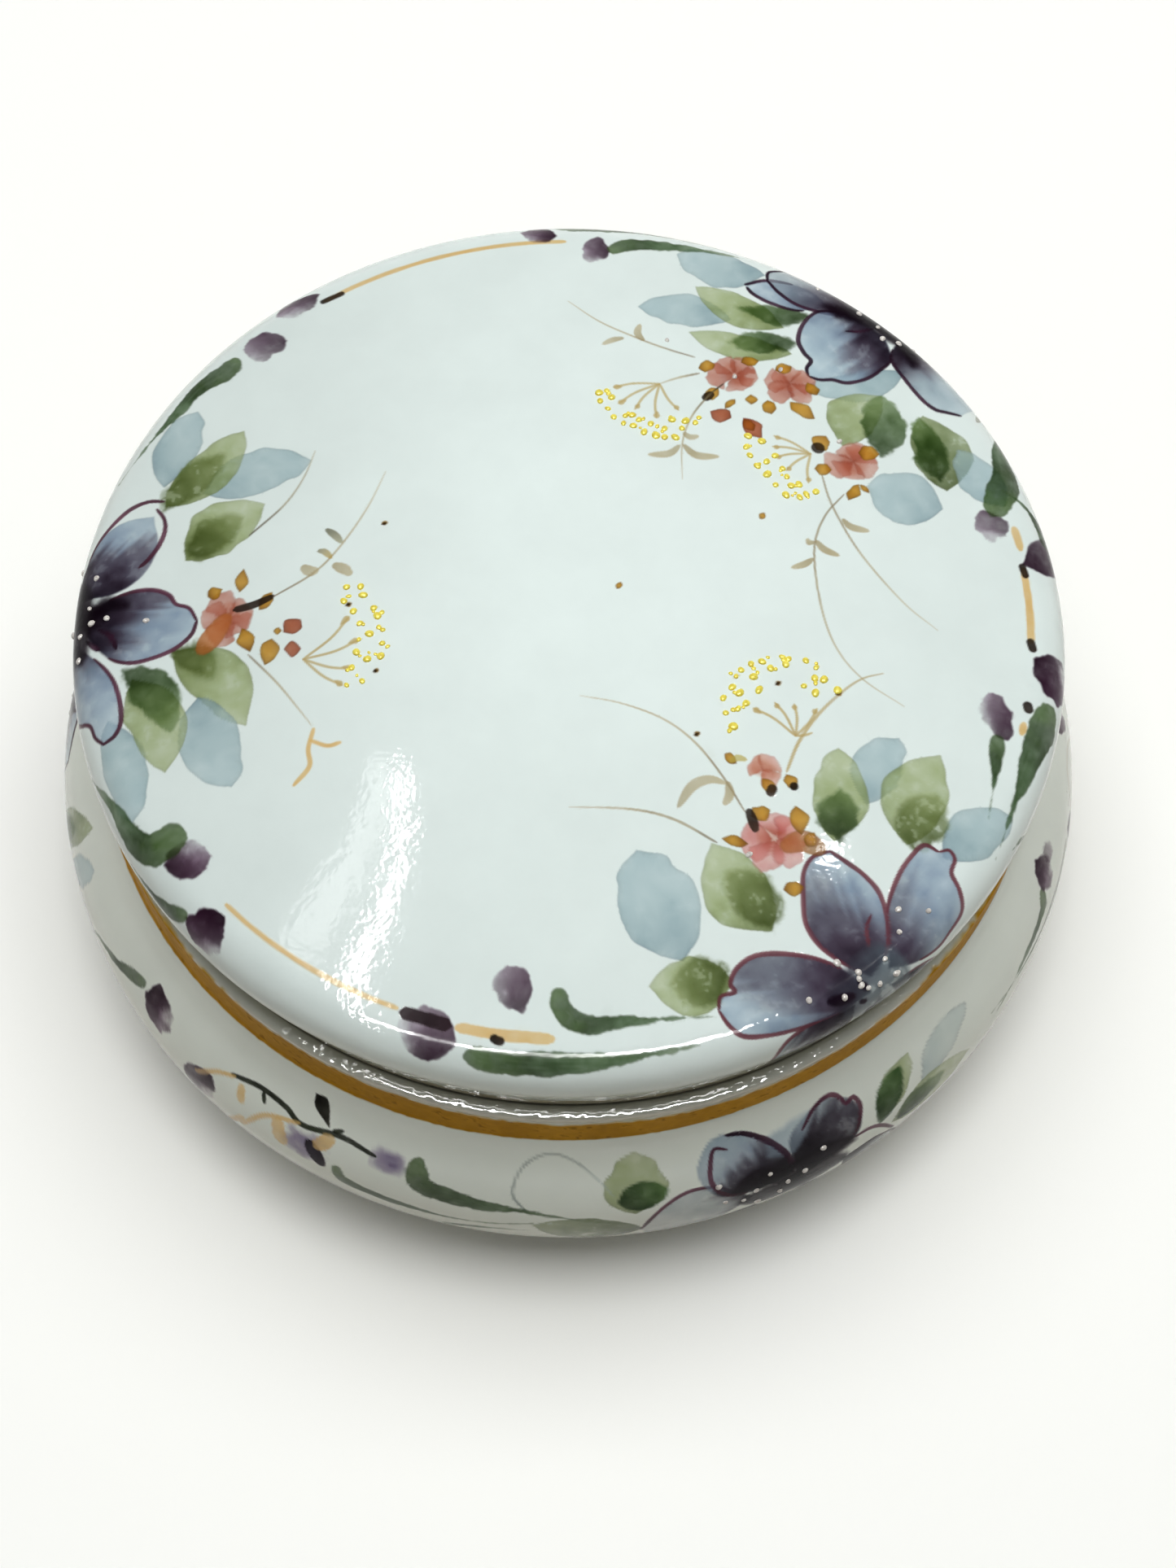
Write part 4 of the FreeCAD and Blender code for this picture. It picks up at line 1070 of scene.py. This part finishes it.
class Skin:
    # root rings run along the section; each is a row of cells that may be halved three times
    checks = ((8, 0.02), (4, 0.025), (2, 0.03))      # steps looked at and stray allowed, each time
    bulgeAllowed = 0.011     # millimetres
    reliefShare = 0.05       # how much gilt, relief and bare clay count beside colour
    batch = 6000

    def __init__(self, shape, rings, budget, paint):
        self.shape = shape
        self.fine = np.concatenate([np.linspace(start, end, 9)[:-1] for start, end, *_ in rings]
                                   + [[rings[-1][1]]])
        cells = []
        for k, (*_, span, zone, minimum) in enumerate(rings):
            for column in range(0, sectors, span):
                cells.append((k * 8, column, 8, span, zone, minimum))
        cells = np.array(cells)
        self.paint = paint
        for level, (count, limit) in enumerate(self.checks):
            wanted = self.straying(cells, count)
            split = (wanted > limit) | (cells[:, 5] > level)
            allowed = (budget - len(cells)) // 3
            if split.sum() > allowed:
                wanted = wanted + 10 * (cells[:, 5] > level)
                order = np.argsort(-wanted, kind="stable")
                split[order[allowed:]] = False
            old = cells[split]
            quarters = []
            for down in (0, 1):
                for across in (0, 1):
                    part = old.copy()
                    part[:, 2] //= 2
                    part[:, 3] //= 2
                    part[:, 0] += part[:, 2] * down
                    part[:, 1] += part[:, 3] * across
                    quarters.append(part)
            cells = np.vstack([cells[~split]] + quarters)
        self.cells = cells

    def straying(self, cells, count):
        # how far the paint or the form strays from a flat blend of a cell's corners
        f = np.linspace(0, 1, count + 1)
        row = cells[:, 0, None] + cells[:, 2, None] * f
        reach = np.interp(row, np.arange(len(self.fine)), self.fine)
        radius, height = self.shape.at(reach)
        bulge = np.hypot(radius - (radius[:, :1] * (1 - f) + radius[:, -1:] * f),
                         height - (height[:, :1] * (1 - f) + height[:, -1:] * f)).max(1)
        result = np.where(bulge > self.bulgeAllowed, 1.0, 0.0)
        painted = np.flatnonzero(cells[:, 4] == paintedZone)
        for part in np.array_split(painted, max(1, len(painted) // self.batch)):
            some = cells[part]
            azimuth = 2 * np.pi * (some[:, 1, None] + some[:, 3, None] * f) / sectors
            there = np.repeat(reach[part][:, :, None], count + 1, 2)
            turn = np.repeat(azimuth[:, None, :], count + 1, 1)
            value = self.paint(there, turn)
            v, u = f[None, :, None, None], f[None, None, :, None]
            flat = ((value[:, :1, :1] * (1 - u) + value[:, :1, -1:] * u) * (1 - v)
                    + (value[:, -1:, :1] * (1 - u) + value[:, -1:, -1:] * u) * v)
            stray = np.abs(value - flat)
            stray[..., 3:] *= self.reliefShare
            result[part] = np.maximum(result[part], stray.max((1, 2, 3)))
        return result

    def build(self, name, material, spread):
        cells = self.cells
        rows = len(self.fine)
        used = np.zeros((rows, sectors), bool)
        for down in (0, 1):
            for across in (0, 1):
                used[cells[:, 0] + cells[:, 2] * down, (cells[:, 1] + cells[:, 3] * across) % sectors] = True
        index = np.full((rows, sectors), -1)
        index[used] = np.arange(used.sum())
        row, column = np.nonzero(used)
        reach = self.fine[row]
        turn = 2 * np.pi * column / sectors
        radius, height = self.shape.at(reach)
        out, up = self.shape.normal(reach)
        spots = np.column_stack([radius * np.cos(turn), radius * np.sin(turn), height]) * mm
        normals = np.column_stack([out * np.cos(turn), out * np.sin(turn), up])

        wide = np.hstack([index, index[:, :1]])
        counts = np.hstack([used, used[:, :1]]).astype(np.int64)
        acrossSum = np.hstack([np.zeros((rows, 1), np.int64), np.cumsum(counts, 1)])
        downSum = np.vstack([np.zeros((1, sectors + 1), np.int64), np.cumsum(counts, 0)])
        r0, c0 = cells[:, 0], cells[:, 1]
        r1, c1 = r0 + cells[:, 2], c0 + cells[:, 3]
        border = (acrossSum[r0, c1 + 1] - acrossSum[r0, c0] + acrossSum[r1, c1 + 1] - acrossSum[r1, c0]
                  + downSum[r1 + 1, c0] - downSum[r0, c0] + downSum[r1 + 1, c1] - downSum[r0, c1] - 4)
        faces, zones, cornersRow, cornersColumn = [], [], [], []
        for k in range(len(cells)):
            a, b, c, d = int(r0[k]), int(r1[k]), int(c0[k]), int(c1[k])
            if border[k] == 4:
                spotsHere = [(a, c), (b, c), (b, d), (a, d)]
            else:
                spotsHere = [(r, c) for r in range(a, b) if wide[r, c] >= 0]
                spotsHere += [(b, s) for s in range(c, d) if wide[b, s] >= 0]
                spotsHere += [(r, d) for r in range(b, a, -1) if wide[r, d] >= 0]
                spotsHere += [(a, s) for s in range(d, c, -1) if wide[a, s] >= 0]
            faces.append([int(wide[r, s]) for r, s in spotsHere])
            zones.append(int(cells[k, 4]))
            cornersRow += [r for r, s in spotsHere]
            cornersColumn += [s for r, s in spotsHere]
        zonePerCorner = np.repeat(zones, [len(face) for face in faces])
        middle = np.repeat((c0 + c1) / 2, [len(face) for face in faces])
        for ring, step in ((0, 1), (rows - 1, -1)):
            columns = np.flatnonzero(used[ring])[::step]
            faces.append([int(index[ring, s]) for s in columns])
            cornersRow += [ring] * len(columns)
            cornersColumn += [int(s) for s in columns]
            zone = zones[int(np.argmin(r0))] if ring == 0 else zones[int(np.argmax(r0))]
            zonePerCorner = np.concatenate([zonePerCorner, [zone] * len(columns)])
            middle = np.concatenate([middle, [0] * len(columns)])

        mesh = bpy.data.meshes.new(name)
        mesh.from_pydata(spots.tolist(), [], faces)
        mesh.polygons.foreach_set("use_smooth", [True] * len(mesh.polygons))
        paint = self.paint(reach, turn)
        colour = np.ones((len(reach), 4), np.float32)
        colour[:, :3] = toLinear(np.clip(paint[:, :3], 0, 1))
        mesh.attributes.new("paint", "FLOAT_COLOR", "POINT").data.foreach_set("color", colour.ravel())
        for title, channel in (("gilt", 3), ("relief", 4), ("bare", 5)):
            values = np.ascontiguousarray(paint[:, channel], np.float32)
            mesh.attributes.new(title, "FLOAT", "POINT").data.foreach_set("value", values)
        uv = spread(self.fine[np.array(cornersRow)], 2 * np.pi * np.array(cornersColumn) / sectors,
                    zonePerCorner, middle / sectors)
        layer = mesh.uv_layers.new(name="OFBake")
        layer.data.foreach_set("uv", np.ascontiguousarray(uv, np.float32).ravel())
        mesh.normals_split_custom_set_from_vertices(normals.tolist())
        mesh.materials.append(material)
        piece = bpy.data.objects.new(name, mesh)
        bpy.context.scene.collection.objects.link(piece)
        print(name, len(mesh.polygons), "faces")
        return piece


def ringsOf(*runs):
    # runs of rings: start, end, about how high each is, zone and least number of halvings
    rings = []
    for start, end, height, zone, minimum in runs:
        count = max(1, int(round((end - start) / height)))
        edges = np.linspace(start, end, count + 1)
        for a, b in zip(edges[:-1], edges[1:]):
            radius = shapeNow.at((a + b) / 2)[0]
            # cells take more steps near the axis, where a step is short
            span = 8 if radius > 23 else 16 if radius > 11 else 32 if radius > 5 else 64
            if zone != paintedZone:
                span = max(span, 16)
            rings.append((a, b, span, zone, minimum))
    return rings


lidInsideReach = lidShape.reachOf((lidRimInside, form["baseHeight"]))


def lidPaint(reach, turn):
    outside = reach < lidRimReach - 0.6
    value = np.zeros(reach.shape + (6,))
    value[..., :5] = lidCanvas.sample(reach * np.cos(turn), reach * np.sin(turn))
    value[..., :3] = np.where(outside[..., None], value[..., :3], hexParts(glazeWhite))
    value[..., 3:5] *= outside[..., None]
    # painted shade: the glaze is darkened away from the middle, and most to the left
    value[..., :3] *= (1 - 0.03 * smooth(reach / 46) - 0.05 * smooth(-reach * np.cos(turn) / 46))[..., None]
    # painted shade: brownish grey over the lowest edge of the lid's side and its rim
    dull = (0.8 * smooth((reach - lidRimReach + 1.3) / 0.8) * (reach < lidRimReach + 2))[..., None]
    value[..., :3] += (hexParts("#59543a") - value[..., :3]) * dull
    bare = smooth((reach - lidRimReach + 0.15) / 0.2) * smooth((lidInsideReach - reach + 0.15) / 0.2)
    value[..., 5] = bare
    value[..., :3] += (hexParts("#d9d6c9") - value[..., :3]) * bare[..., None]
    return value


# Each skin laid out flat in a square of its own: discs by their centre and half width, and the
# wall in strips one above the other.
lidDiscs = {"outside": (0.42, 0.415), "inside": (0.832, 0.15)}
baseDiscs = {"inside": (0.11, 0.095), "under": (0.34, 0.095), "up": 0.9}
wallStrips = {"count": 3, "edge": 0.01, "wide": 0.98, "apart": 0.265, "high": 0.25}


def lidSpread(reach, turn, zone, _):
    outside = zone == paintedZone
    total = lidShape.total
    size = np.where(outside, reach / (lidRimReach + 0.8) * lidDiscs["outside"][1],
                    (total - reach) / (total - lidRimReach) * lidDiscs["inside"][1])
    centre = np.where(outside, lidDiscs["outside"][0], lidDiscs["inside"][0])
    return np.column_stack([centre + size * np.cos(turn), centre + size * np.sin(turn)])


footReach = baseShape.reachOf((neckRadius - form["footInset"], 0))
footInnerReach = baseShape.reachOf((neckRadius - form["footInset"] - form["footWidth"], 0))


def basePaint(reach, turn):
    degrees = np.degrees(turn)
    degrees = np.where(degrees > seam, degrees - 360, degrees)
    value = np.zeros(reach.shape + (6,))
    drop = reach - ledgeReach
    value[..., :5] = baseCanvas.sample(degrees * wallScale, -drop)
    outside = (drop > 0) & (reach < footReach - 2)
    value[..., :3] = np.where(outside[..., None], value[..., :3], hexParts(baseGlazeWarmShade))
    value[..., 3:5] *= outside[..., None]
    bare = smooth((reach - footReach + 0.1) / 0.3) * smooth((footInnerReach - reach + 0.1) / 0.3)
    value[..., 5] = bare
    value[..., :3] += (hexParts("#cfc9b8") - value[..., :3]) * bare[..., None]
    return value


def baseSpread(reach, turn, zone, middle):
    s = wallStrips
    strip = np.minimum(np.floor(middle * s["count"]), s["count"] - 1)
    down = (reach - ledgeReach) / (footReach - ledgeReach)
    wall = np.column_stack([s["edge"] + (turn * s["count"] / (2 * np.pi) - strip) * s["wide"],
                            s["edge"] + strip * s["apart"] + down * s["high"]])
    inside = zone == innerZone
    total = baseShape.total
    size = (np.where(inside, reach / ledgeReach, (total - reach) / (total - footReach))
            * baseDiscs["inside"][1])
    x = np.where(inside, baseDiscs["inside"][0], baseDiscs["under"][0])
    disc = np.column_stack([x + size * np.cos(turn), baseDiscs["up"] + size * np.sin(turn)])
    return np.where((zone == paintedZone)[:, None], wall, disc)


def addNode(tree, kind, settings=None, links=None):
    node = tree.nodes.new("ShaderNode" + kind)
    for key, value in (settings or {}).items():
        if isinstance(key, str) and key not in node.inputs:
            setattr(node, key, value)
        else:
            node.inputs[key].default_value = value
    for key, socket in (links or {}).items():
        tree.links.new(socket, node.inputs[key])
    return node


def reckon(tree, operation, *terms):
    # arithmetic on sockets and plain numbers
    numbers = {k: term for k, term in enumerate(terms) if isinstance(term, float)}
    sockets = {k: term for k, term in enumerate(terms) if k not in numbers}
    return addNode(tree, "Math", {"operation": operation, **numbers}, sockets).outputs["Value"]


def ranged(tree, socket, low, high, start=0.0, end=1.0):
    # carries the range from low to high over to start and end, and stops there
    settings = {"From Min": low, "From Max": high, "To Min": start, "To Max": end}
    return addNode(tree, "MapRange", settings, {"Value": socket}).outputs["Result"]


def noise(tree, where, size, **settings):
    # clouds of about that size, in millimetres
    return addNode(tree, "TexNoise", {"Scale": 1000 / size, **settings}, {"Vector": where}).outputs["Fac"]


def bump(tree, distance, height, normal=None):
    links = {"Height": height}
    if normal:
        links["Normal"] = normal
    return addNode(tree, "Bump", {"Distance": distance}, links).outputs["Normal"]


def lengthOf(tree, socket):
    return addNode(tree, "VectorMath", {"operation": "LENGTH"}, {0: socket}).outputs["Value"]


def hexLinear(text):
    return tuple(float(part) for part in toLinear(hexParts(text))) + (1.0,)


def newMaterial(name):
    material = bpy.data.materials.new(name)
    material.use_nodes = True
    material.node_tree.nodes.clear()
    return material, material.node_tree


porcelain = {
    "ior": 1.5,              # lead-free glaze
    "cloudSize": 9.0,        # sizes of noise are in millimetres
    "peelSize": 0.45,        # between the ripples of the glaze
    "peelHeight": 0.0000048, # heights are in metres
    "lumpSize": 1.1,
    "lumpsOutside": (0.0445, 0.0465), "lumpsAbove": (0.0306, 0.0318),
    "paintHeight": 0.00002,
    "roughness": 0.055,
    "giltRoughness": 0.4,
    "bareRoughness": 0.65,
}


def glazedPorcelain(name, look, lumpHeight):
    # Hard-paste porcelain, cast, glazed and painted over the glaze: a clear mirror-like skin whose
    # fine ripples fray the edge of a highlight; the paint lies on it, a little higher and duller.
    material, tree = newMaterial(name)
    paint, gilt, relief, bare = [addNode(tree, "Attribute", {"attribute_name": title})
                                 for title in ("paint", "gilt", "relief", "bare")]
    colour, gilt = paint.outputs["Color"], gilt.outputs["Fac"]
    where = addNode(tree, "TexCoord").outputs["Object"]
    clouds = noise(tree, where, look["cloudSize"], Detail=3.0, Roughness=0.6)
    toned = addNode(tree, "VectorMath", {"operation": "SCALE"},
                    {0: colour, "Scale": ranged(tree, clouds, 0.3, 0.7, 0.965, 1.02)})
    fine = noise(tree, where, look["peelSize"], Detail=0.0)
    slow = noise(tree, where, look["peelSize"] * 2.8, Detail=0.0)
    peel = bump(tree, look["peelHeight"], fine, bump(tree, look["peelHeight"] * 1.6, slow))
    # glaze has drawn up in lumps on the shoulder of the lid and the edge of the ledge
    height = addNode(tree, "SeparateXYZ", None, {"Vector": where}).outputs["Z"]
    flat = addNode(tree, "VectorMath", {"operation": "MULTIPLY", 1: (1, 1, 0)}, {0: where})
    outward = ranged(tree, lengthOf(tree, flat.outputs["Vector"]), *look["lumpsOutside"])
    edged = reckon(tree, "MULTIPLY", outward, ranged(tree, height, *look["lumpsAbove"]))
    drawn = noise(tree, where, look["lumpSize"], Detail=1.0, Roughness=0.45)
    lumped = bump(tree, lumpHeight, reckon(tree, "MULTIPLY", drawn, edged), peel)
    raised = bump(tree, look["paintHeight"], relief.outputs["Fac"], lumped)
    dull = reckon(tree, "MULTIPLY_ADD", gilt, look["giltRoughness"], look["roughness"])
    duller = reckon(tree, "MULTIPLY_ADD", bare.outputs["Fac"], look["bareRoughness"], dull)
    # dark paint is duller than the white glaze, and gilt hardly shines
    depth = addNode(tree, "RGBToBW", None, {"Color": colour}).outputs["Val"]
    unpolished = reckon(tree, "MULTIPLY_ADD", gilt, -0.95, 1.0)
    sheen = reckon(tree, "MULTIPLY", ranged(tree, depth, 0.02, 0.4, 0.05, 0.5), unpolished)
    rough = reckon(tree, "ADD", duller, ranged(tree, depth, 0.03, 0.3, 0.12, 0.0))
    shader = addNode(tree, "BsdfPrincipled", {"IOR": look["ior"]}, {
        "Base Color": toned.outputs["Vector"], "Metallic": reckon(tree, "MULTIPLY", gilt, 0.12),
        "Roughness": rough, "Normal": raised, "Specular IOR Level": sheen})
    addNode(tree, "OutputMaterial", None, {"Surface": shader.outputs["BSDF"]})
    return material


def raisedEnamel(name, shade, other, roughness, metallic):
    # Relief enamel and paste, set down in drops from a pointed brush: glassy little domes.
    material, tree = newMaterial(name)
    clouds = noise(tree, addNode(tree, "TexCoord").outputs["Object"], 0.35, Detail=2.0)
    mix = addNode(tree, "Mix", {"data_type": "RGBA", 6: hexLinear(shade), 7: hexLinear(other)},
                  {0: ranged(tree, clouds, 0.35, 0.65)})
    shader = addNode(tree, "BsdfPrincipled", {"Roughness": roughness, "Metallic": metallic, "IOR": 1.5},
                     {"Base Color": mix.outputs[2], "Normal": bump(tree, 0.00003, clouds)})
    addNode(tree, "OutputMaterial", None, {"Surface": shader.outputs["BSDF"]})
    return material


lidGlaze = glazedPorcelain("porcelainGlazeLid", porcelain, 0.00003)
baseGlaze = glazedPorcelain("porcelainGlazeBase", porcelain, 0.00014)
clearEnamel = raisedEnamel("whiteReliefEnamel", "#e4e1da", "#b9b2ac", 0.06, 0.0)
goldPaste = raisedEnamel("yellowGoldPaste", "#f6ea62", "#e2cc44", 0.3, 0.1)

shapeNow = lidShape
domeEnd, shoulderEnd = 47.0, 53.6
lidRings = ringsOf((0.4, domeEnd, 1.0, paintedZone, 0), (domeEnd, shoulderEnd, 0.94, paintedZone, 0),
                   (shoulderEnd, lidRimReach - 0.5, 1.0, paintedZone, 0),
                   (lidRimReach - 0.5, lidRimReach + 0.5, 0.5, innerZone, 1),
                   (lidRimReach + 0.5, lidInsideReach - 0.5, 0.8, innerZone, 0),
                   (lidInsideReach - 0.5, lidInsideReach + 0.5, 0.5, innerZone, 1),
                   (lidInsideReach + 0.5, lidInsideReach + 8.6, 1.3, innerZone, 0),
                   (lidInsideReach + 8.6, lidShape.total - 0.4, 2.4, innerZone, 0))
lidSkin = Skin(lidShape, lidRings, cellBudget, lidPaint).build("lid_painted", lidGlaze, lidSpread)

shapeNow = baseShape
baseRings = ringsOf((0.4, ledgeReach - 24, 2.2, innerZone, 0),
                    (ledgeReach - 24, ledgeReach - 0.6, 0.8, innerZone, 0),
                    (ledgeReach - 0.6, ledgeReach, 0.6, innerZone, 0),
                    (ledgeReach, footReach - 1.2, 1.0, paintedZone, 0),
                    (footReach - 1.2, footInnerReach + 1.5, 0.5, underZone, 0),
                    (footInnerReach + 1.5, baseShape.total - 0.4, 2.4, underZone, 0))
baseSkin = Skin(baseShape, baseRings, cellBudget, basePaint).build("base_painted", baseGlaze, baseSpread)


def beadPiece(name, spots, shape, toPlace, material, flatness):
    # low domes seated in the glaze, joined as one piece
    vertices, faces = [], []
    segments = 10
    rings = ((1, -0.12), (0.97, 0.22), (0.78, 0.62), (0.42, 0.9))      # width and height of each
    for x, y, size in spots:
        reach, turn = toPlace(x, y)
        radius, height = shape.at(reach)
        out, up = shape.normal(reach)
        normal = np.array([out * math.cos(turn), out * math.sin(turn), up])
        around = np.array([-math.sin(turn), math.cos(turn), 0])
        down = np.cross(normal, around)
        middle = np.array([radius * math.cos(turn), radius * math.sin(turn), height])
        first = len(vertices)
        stretch = 1 + 0.3 * (random.random(2) - 0.5)
        for wide, tall in rings:
            for k in range(segments):
                angle = 2 * math.pi * k / segments
                wave = 1 + 0.08 * math.sin(2 * angle + x * 9) + 0.04 * math.sin(3 * angle + y * 7)
                spot = (middle + around * math.cos(angle) * size * wide * wave * stretch[0]
                        + down * math.sin(angle) * size * wide * wave * stretch[1]
                        + normal * size * flatness * tall)
                vertices.append(tuple(spot * mm))
        vertices.append(tuple((middle + normal * size * flatness) * mm))
        for ring in range(3):
            for k in range(segments):
                a = first + ring * segments + k
                b = first + ring * segments + (k + 1) % segments
                faces.append((a, b, b + segments, a + segments))
        top = first + 3 * segments
        faces += [(top + k, top + (k + 1) % segments, first + 4 * segments) for k in range(segments)]
        faces.append(tuple(first + k for k in reversed(range(segments))))
    mesh = bpy.data.meshes.new(name)
    mesh.from_pydata(vertices, [], faces)
    mesh.polygons.foreach_set("use_smooth", [True] * len(mesh.polygons))
    mesh.materials.append(material)
    piece = bpy.data.objects.new(name, mesh)
    bpy.context.scene.collection.objects.link(piece)
    return piece


def onLid(x, y):
    return math.hypot(x, y), math.atan2(y, x)


def onBase(x, y):
    return ledgeReach - y, math.radians(x / wallScale)


lidDrops = beadPiece("lid_enamel_drops", beads["lidDrops"], lidShape, onLid, clearEnamel, 0.75)
lidGrains = beadPiece("lid_gold_grains", beads["lidGrains"], lidShape, onLid, goldPaste, 0.7)
baseDrops = beadPiece("base_enamel_drops", beads["baseDrops"], baseShape, onBase, clearEnamel, 0.6)

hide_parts("lid")
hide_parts("base")
for piece, body, slot in ((lidSkin, "lid", "porcelain_lid"), (lidDrops, "lid", "porcelain_lid"),
                          (lidGrains, "lid", "porcelain_lid"), (baseSkin, "base", "porcelain_base"),
                          (baseDrops, "base", "porcelain_base")):
    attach(piece, body)
print("pieces done")

# Stage
scene = bpy.context.scene
scene.view_settings.view_transform = "Standard"
stage = {
    "floorColour": "#9f957f",   # warm white card, as the light finds it
    "floorSeen": "#fefffb",     # the same card as the camera sees it
    "floorHalf": 4.0, "fading": (0.3, 0.9),     # metres
    "worldFill": 0.175, "ceiling": 0.04,
}


def seenBy(tree):
    # one for the rays by which a thing is seen, and nothing for those by which it lights others
    ray = addNode(tree, "LightPath")
    sees = reckon(tree, "MAXIMUM", ray.outputs["Is Camera Ray"], ray.outputs["Is Glossy Ray"])
    return reckon(tree, "MAXIMUM", sees, ray.outputs["Is Transmission Ray"])


def makeFloor(s):
    mesh = bpy.data.meshes.new("floor")
    half = s["floorHalf"]
    mesh.from_pydata([(-half, -half, 0), (half, -half, 0), (half, half, 0), (-half, half, 0)], [],
                     [(0, 1, 2, 3)])
    floor = bpy.data.objects.new("floor", mesh)
    scene.collection.objects.link(floor)
    material, tree = newMaterial("paleCardFloor")
    seen = seenBy(tree)
    mix = addNode(tree, "Mix", {"data_type": "RGBA", 6: hexLinear(s["floorColour"]),
                                7: hexLinear(s["floorSeen"])}, {0: seen})
    card = addNode(tree, "BsdfDiffuse", None, {"Color": mix.outputs[2]})
    # far from the object, where the lamps no longer reach, the card is seen as white
    far = lengthOf(tree, addNode(tree, "TexCoord").outputs["Object"])
    share = reckon(tree, "MULTIPLY", ranged(tree, far, *s["fading"]), seen)
    white = addNode(tree, "Emission", {"Color": hexLinear(s["floorSeen"]), "Strength": 1.0})
    both = addNode(tree, "MixShader", None, {0: share, 1: card.outputs["BSDF"],
                                             2: white.outputs["Emission"]})
    addNode(tree, "OutputMaterial", None, {"Surface": both.outputs["Shader"]})
    mesh.materials.append(material)


def makeWorld(s):
    world = bpy.data.worlds.new("studio")
    scene.world = world
    world.use_nodes = True
    tree = world.node_tree
    tree.nodes.clear()
    where = addNode(tree, "TexCoord").outputs["Generated"]
    rise = addNode(tree, "SeparateXYZ", None, {0: where}).outputs["Z"]
    strength = addNode(tree, "Mix", {"data_type": "FLOAT", 2: s["worldFill"]},
                       {0: seenBy(tree), 3: ranged(tree, rise, 0.12, 0.5, 1.0, s["ceiling"])})
    back = addNode(tree, "Background", {"Color": (1, 1, 1, 1)}, {"Strength": strength.outputs[0]})
    addNode(tree, "OutputWorld", None, {"Surface": back.outputs["Background"]})


def areaLight(name, place, aim, along, wide, long, level, mirrored):
    # a rectangle of light; level is how bright its face is beside a white one in full light.
    # A mirrored lamp is only seen in the glaze, and the others only light.
    lamp = bpy.data.lights.new(name, "AREA")
    lamp.shape = "RECTANGLE"
    lamp.size, lamp.size_y = wide, long
    lamp.energy = level * math.pi * wide * long * math.pi
    light = bpy.data.objects.new(name, lamp)
    scene.collection.objects.link(light)
    back = (Vector(place) - Vector(aim)).normalized()
    length = (Vector(along) - back * back.dot(Vector(along))).normalized()
    across = length.cross(back)
    light.visible_glossy = mirrored
    light.visible_diffuse = not mirrored
    light.matrix_world = Matrix.Translation(place) @ Matrix((across, length, back)).transposed().to_4x4()


def tube(name, spots, widths, level):
    # a bent tube of light overhead
    for k, (start, end, wide) in enumerate(zip(spots[:-1], spots[1:], widths)):
        start, end = Vector(start), Vector(end)
        areaLight(name + str(k), (start + end) / 2, aim, end - start, wide, (end - start).length, level, True)


makeFloor(stage)
makeWorld(stage)
aim = (0, 0, 0.03)
areaLight("keyBox", (0.03, 0.14, 1.0), aim, (0, 1, 0), 1.0, 0.8, 1.34, False)
areaLight("roomFill", (-0.3, -1.0, 0.6), aim, (1, 0, 0), 0.8, 1.2, 0.005, False)
tube("tube", [(-0.193, 0.325, 1), (-0.187, 0.253, 1), (-0.19, 0.193, 1), (-0.208, 0.137, 1),
              (-0.229, 0.09, 1), (-0.25, 0.03, 1), (-0.33, -0.15, 1), (-0.44, -0.36, 1), (-0.57, -0.62, 1),
              (-0.72, -0.98, 1)],
     (0.006, 0.007, 0.009, 0.012, 0.016, 0.012, 0.009, 0.01, 0.01), 17)
tube("halo", [(-0.219, 0.34, 1.01), (-0.219, 0.307, 1.01), (-0.225, 0.256, 1.01), (-0.245, 0.206, 1.01),
              (-0.268, 0.169, 1.01), (-0.3, 0.11, 1.01)], (0.02, 0.026, 0.034, 0.042, 0.05), 1.2)
areaLight("strip", (-0.02, -0.45, 1.0), aim, (1, 0, 0), 0.13, 0.88, 17, True)
areaLight("window", (0.66, -0.27, 1.0), aim, (0.7, 0.7, 0), 0.05, 0.09, 10, True)
areaLight("spot", (0.295, 0.227, 1.0), aim, (0, 1, 0), 0.018, 0.018, 26, True)


view = {"place": (0, -0.1180, 0.2402), "aim": (0.0020, -0.0086, 0.0220), "roll": 1.2, "lens": 52.31}


def makeCamera(v):
    place = Vector(v["place"])
    ahead = (Vector(v["aim"]) - place).normalized()
    right = ahead.cross(Vector((0, 0, 1))).normalized()
    up = right.cross(ahead)
    level = Matrix((right, up, -ahead)).transposed().to_4x4()
    turned = level @ Matrix.Rotation(math.radians(v["roll"]), 4, "Z")
    data = bpy.data.cameras.new("camera")
    data.sensor_fit = "VERTICAL"
    data.sensor_height = 36
    data.lens = v["lens"]
    data.clip_start = 0.01
    camera = bpy.data.objects.new("camera", data)
    scene.collection.objects.link(camera)
    camera.matrix_world = Matrix.Translation(place) @ turned
    scene.camera = camera


makeCamera(view)
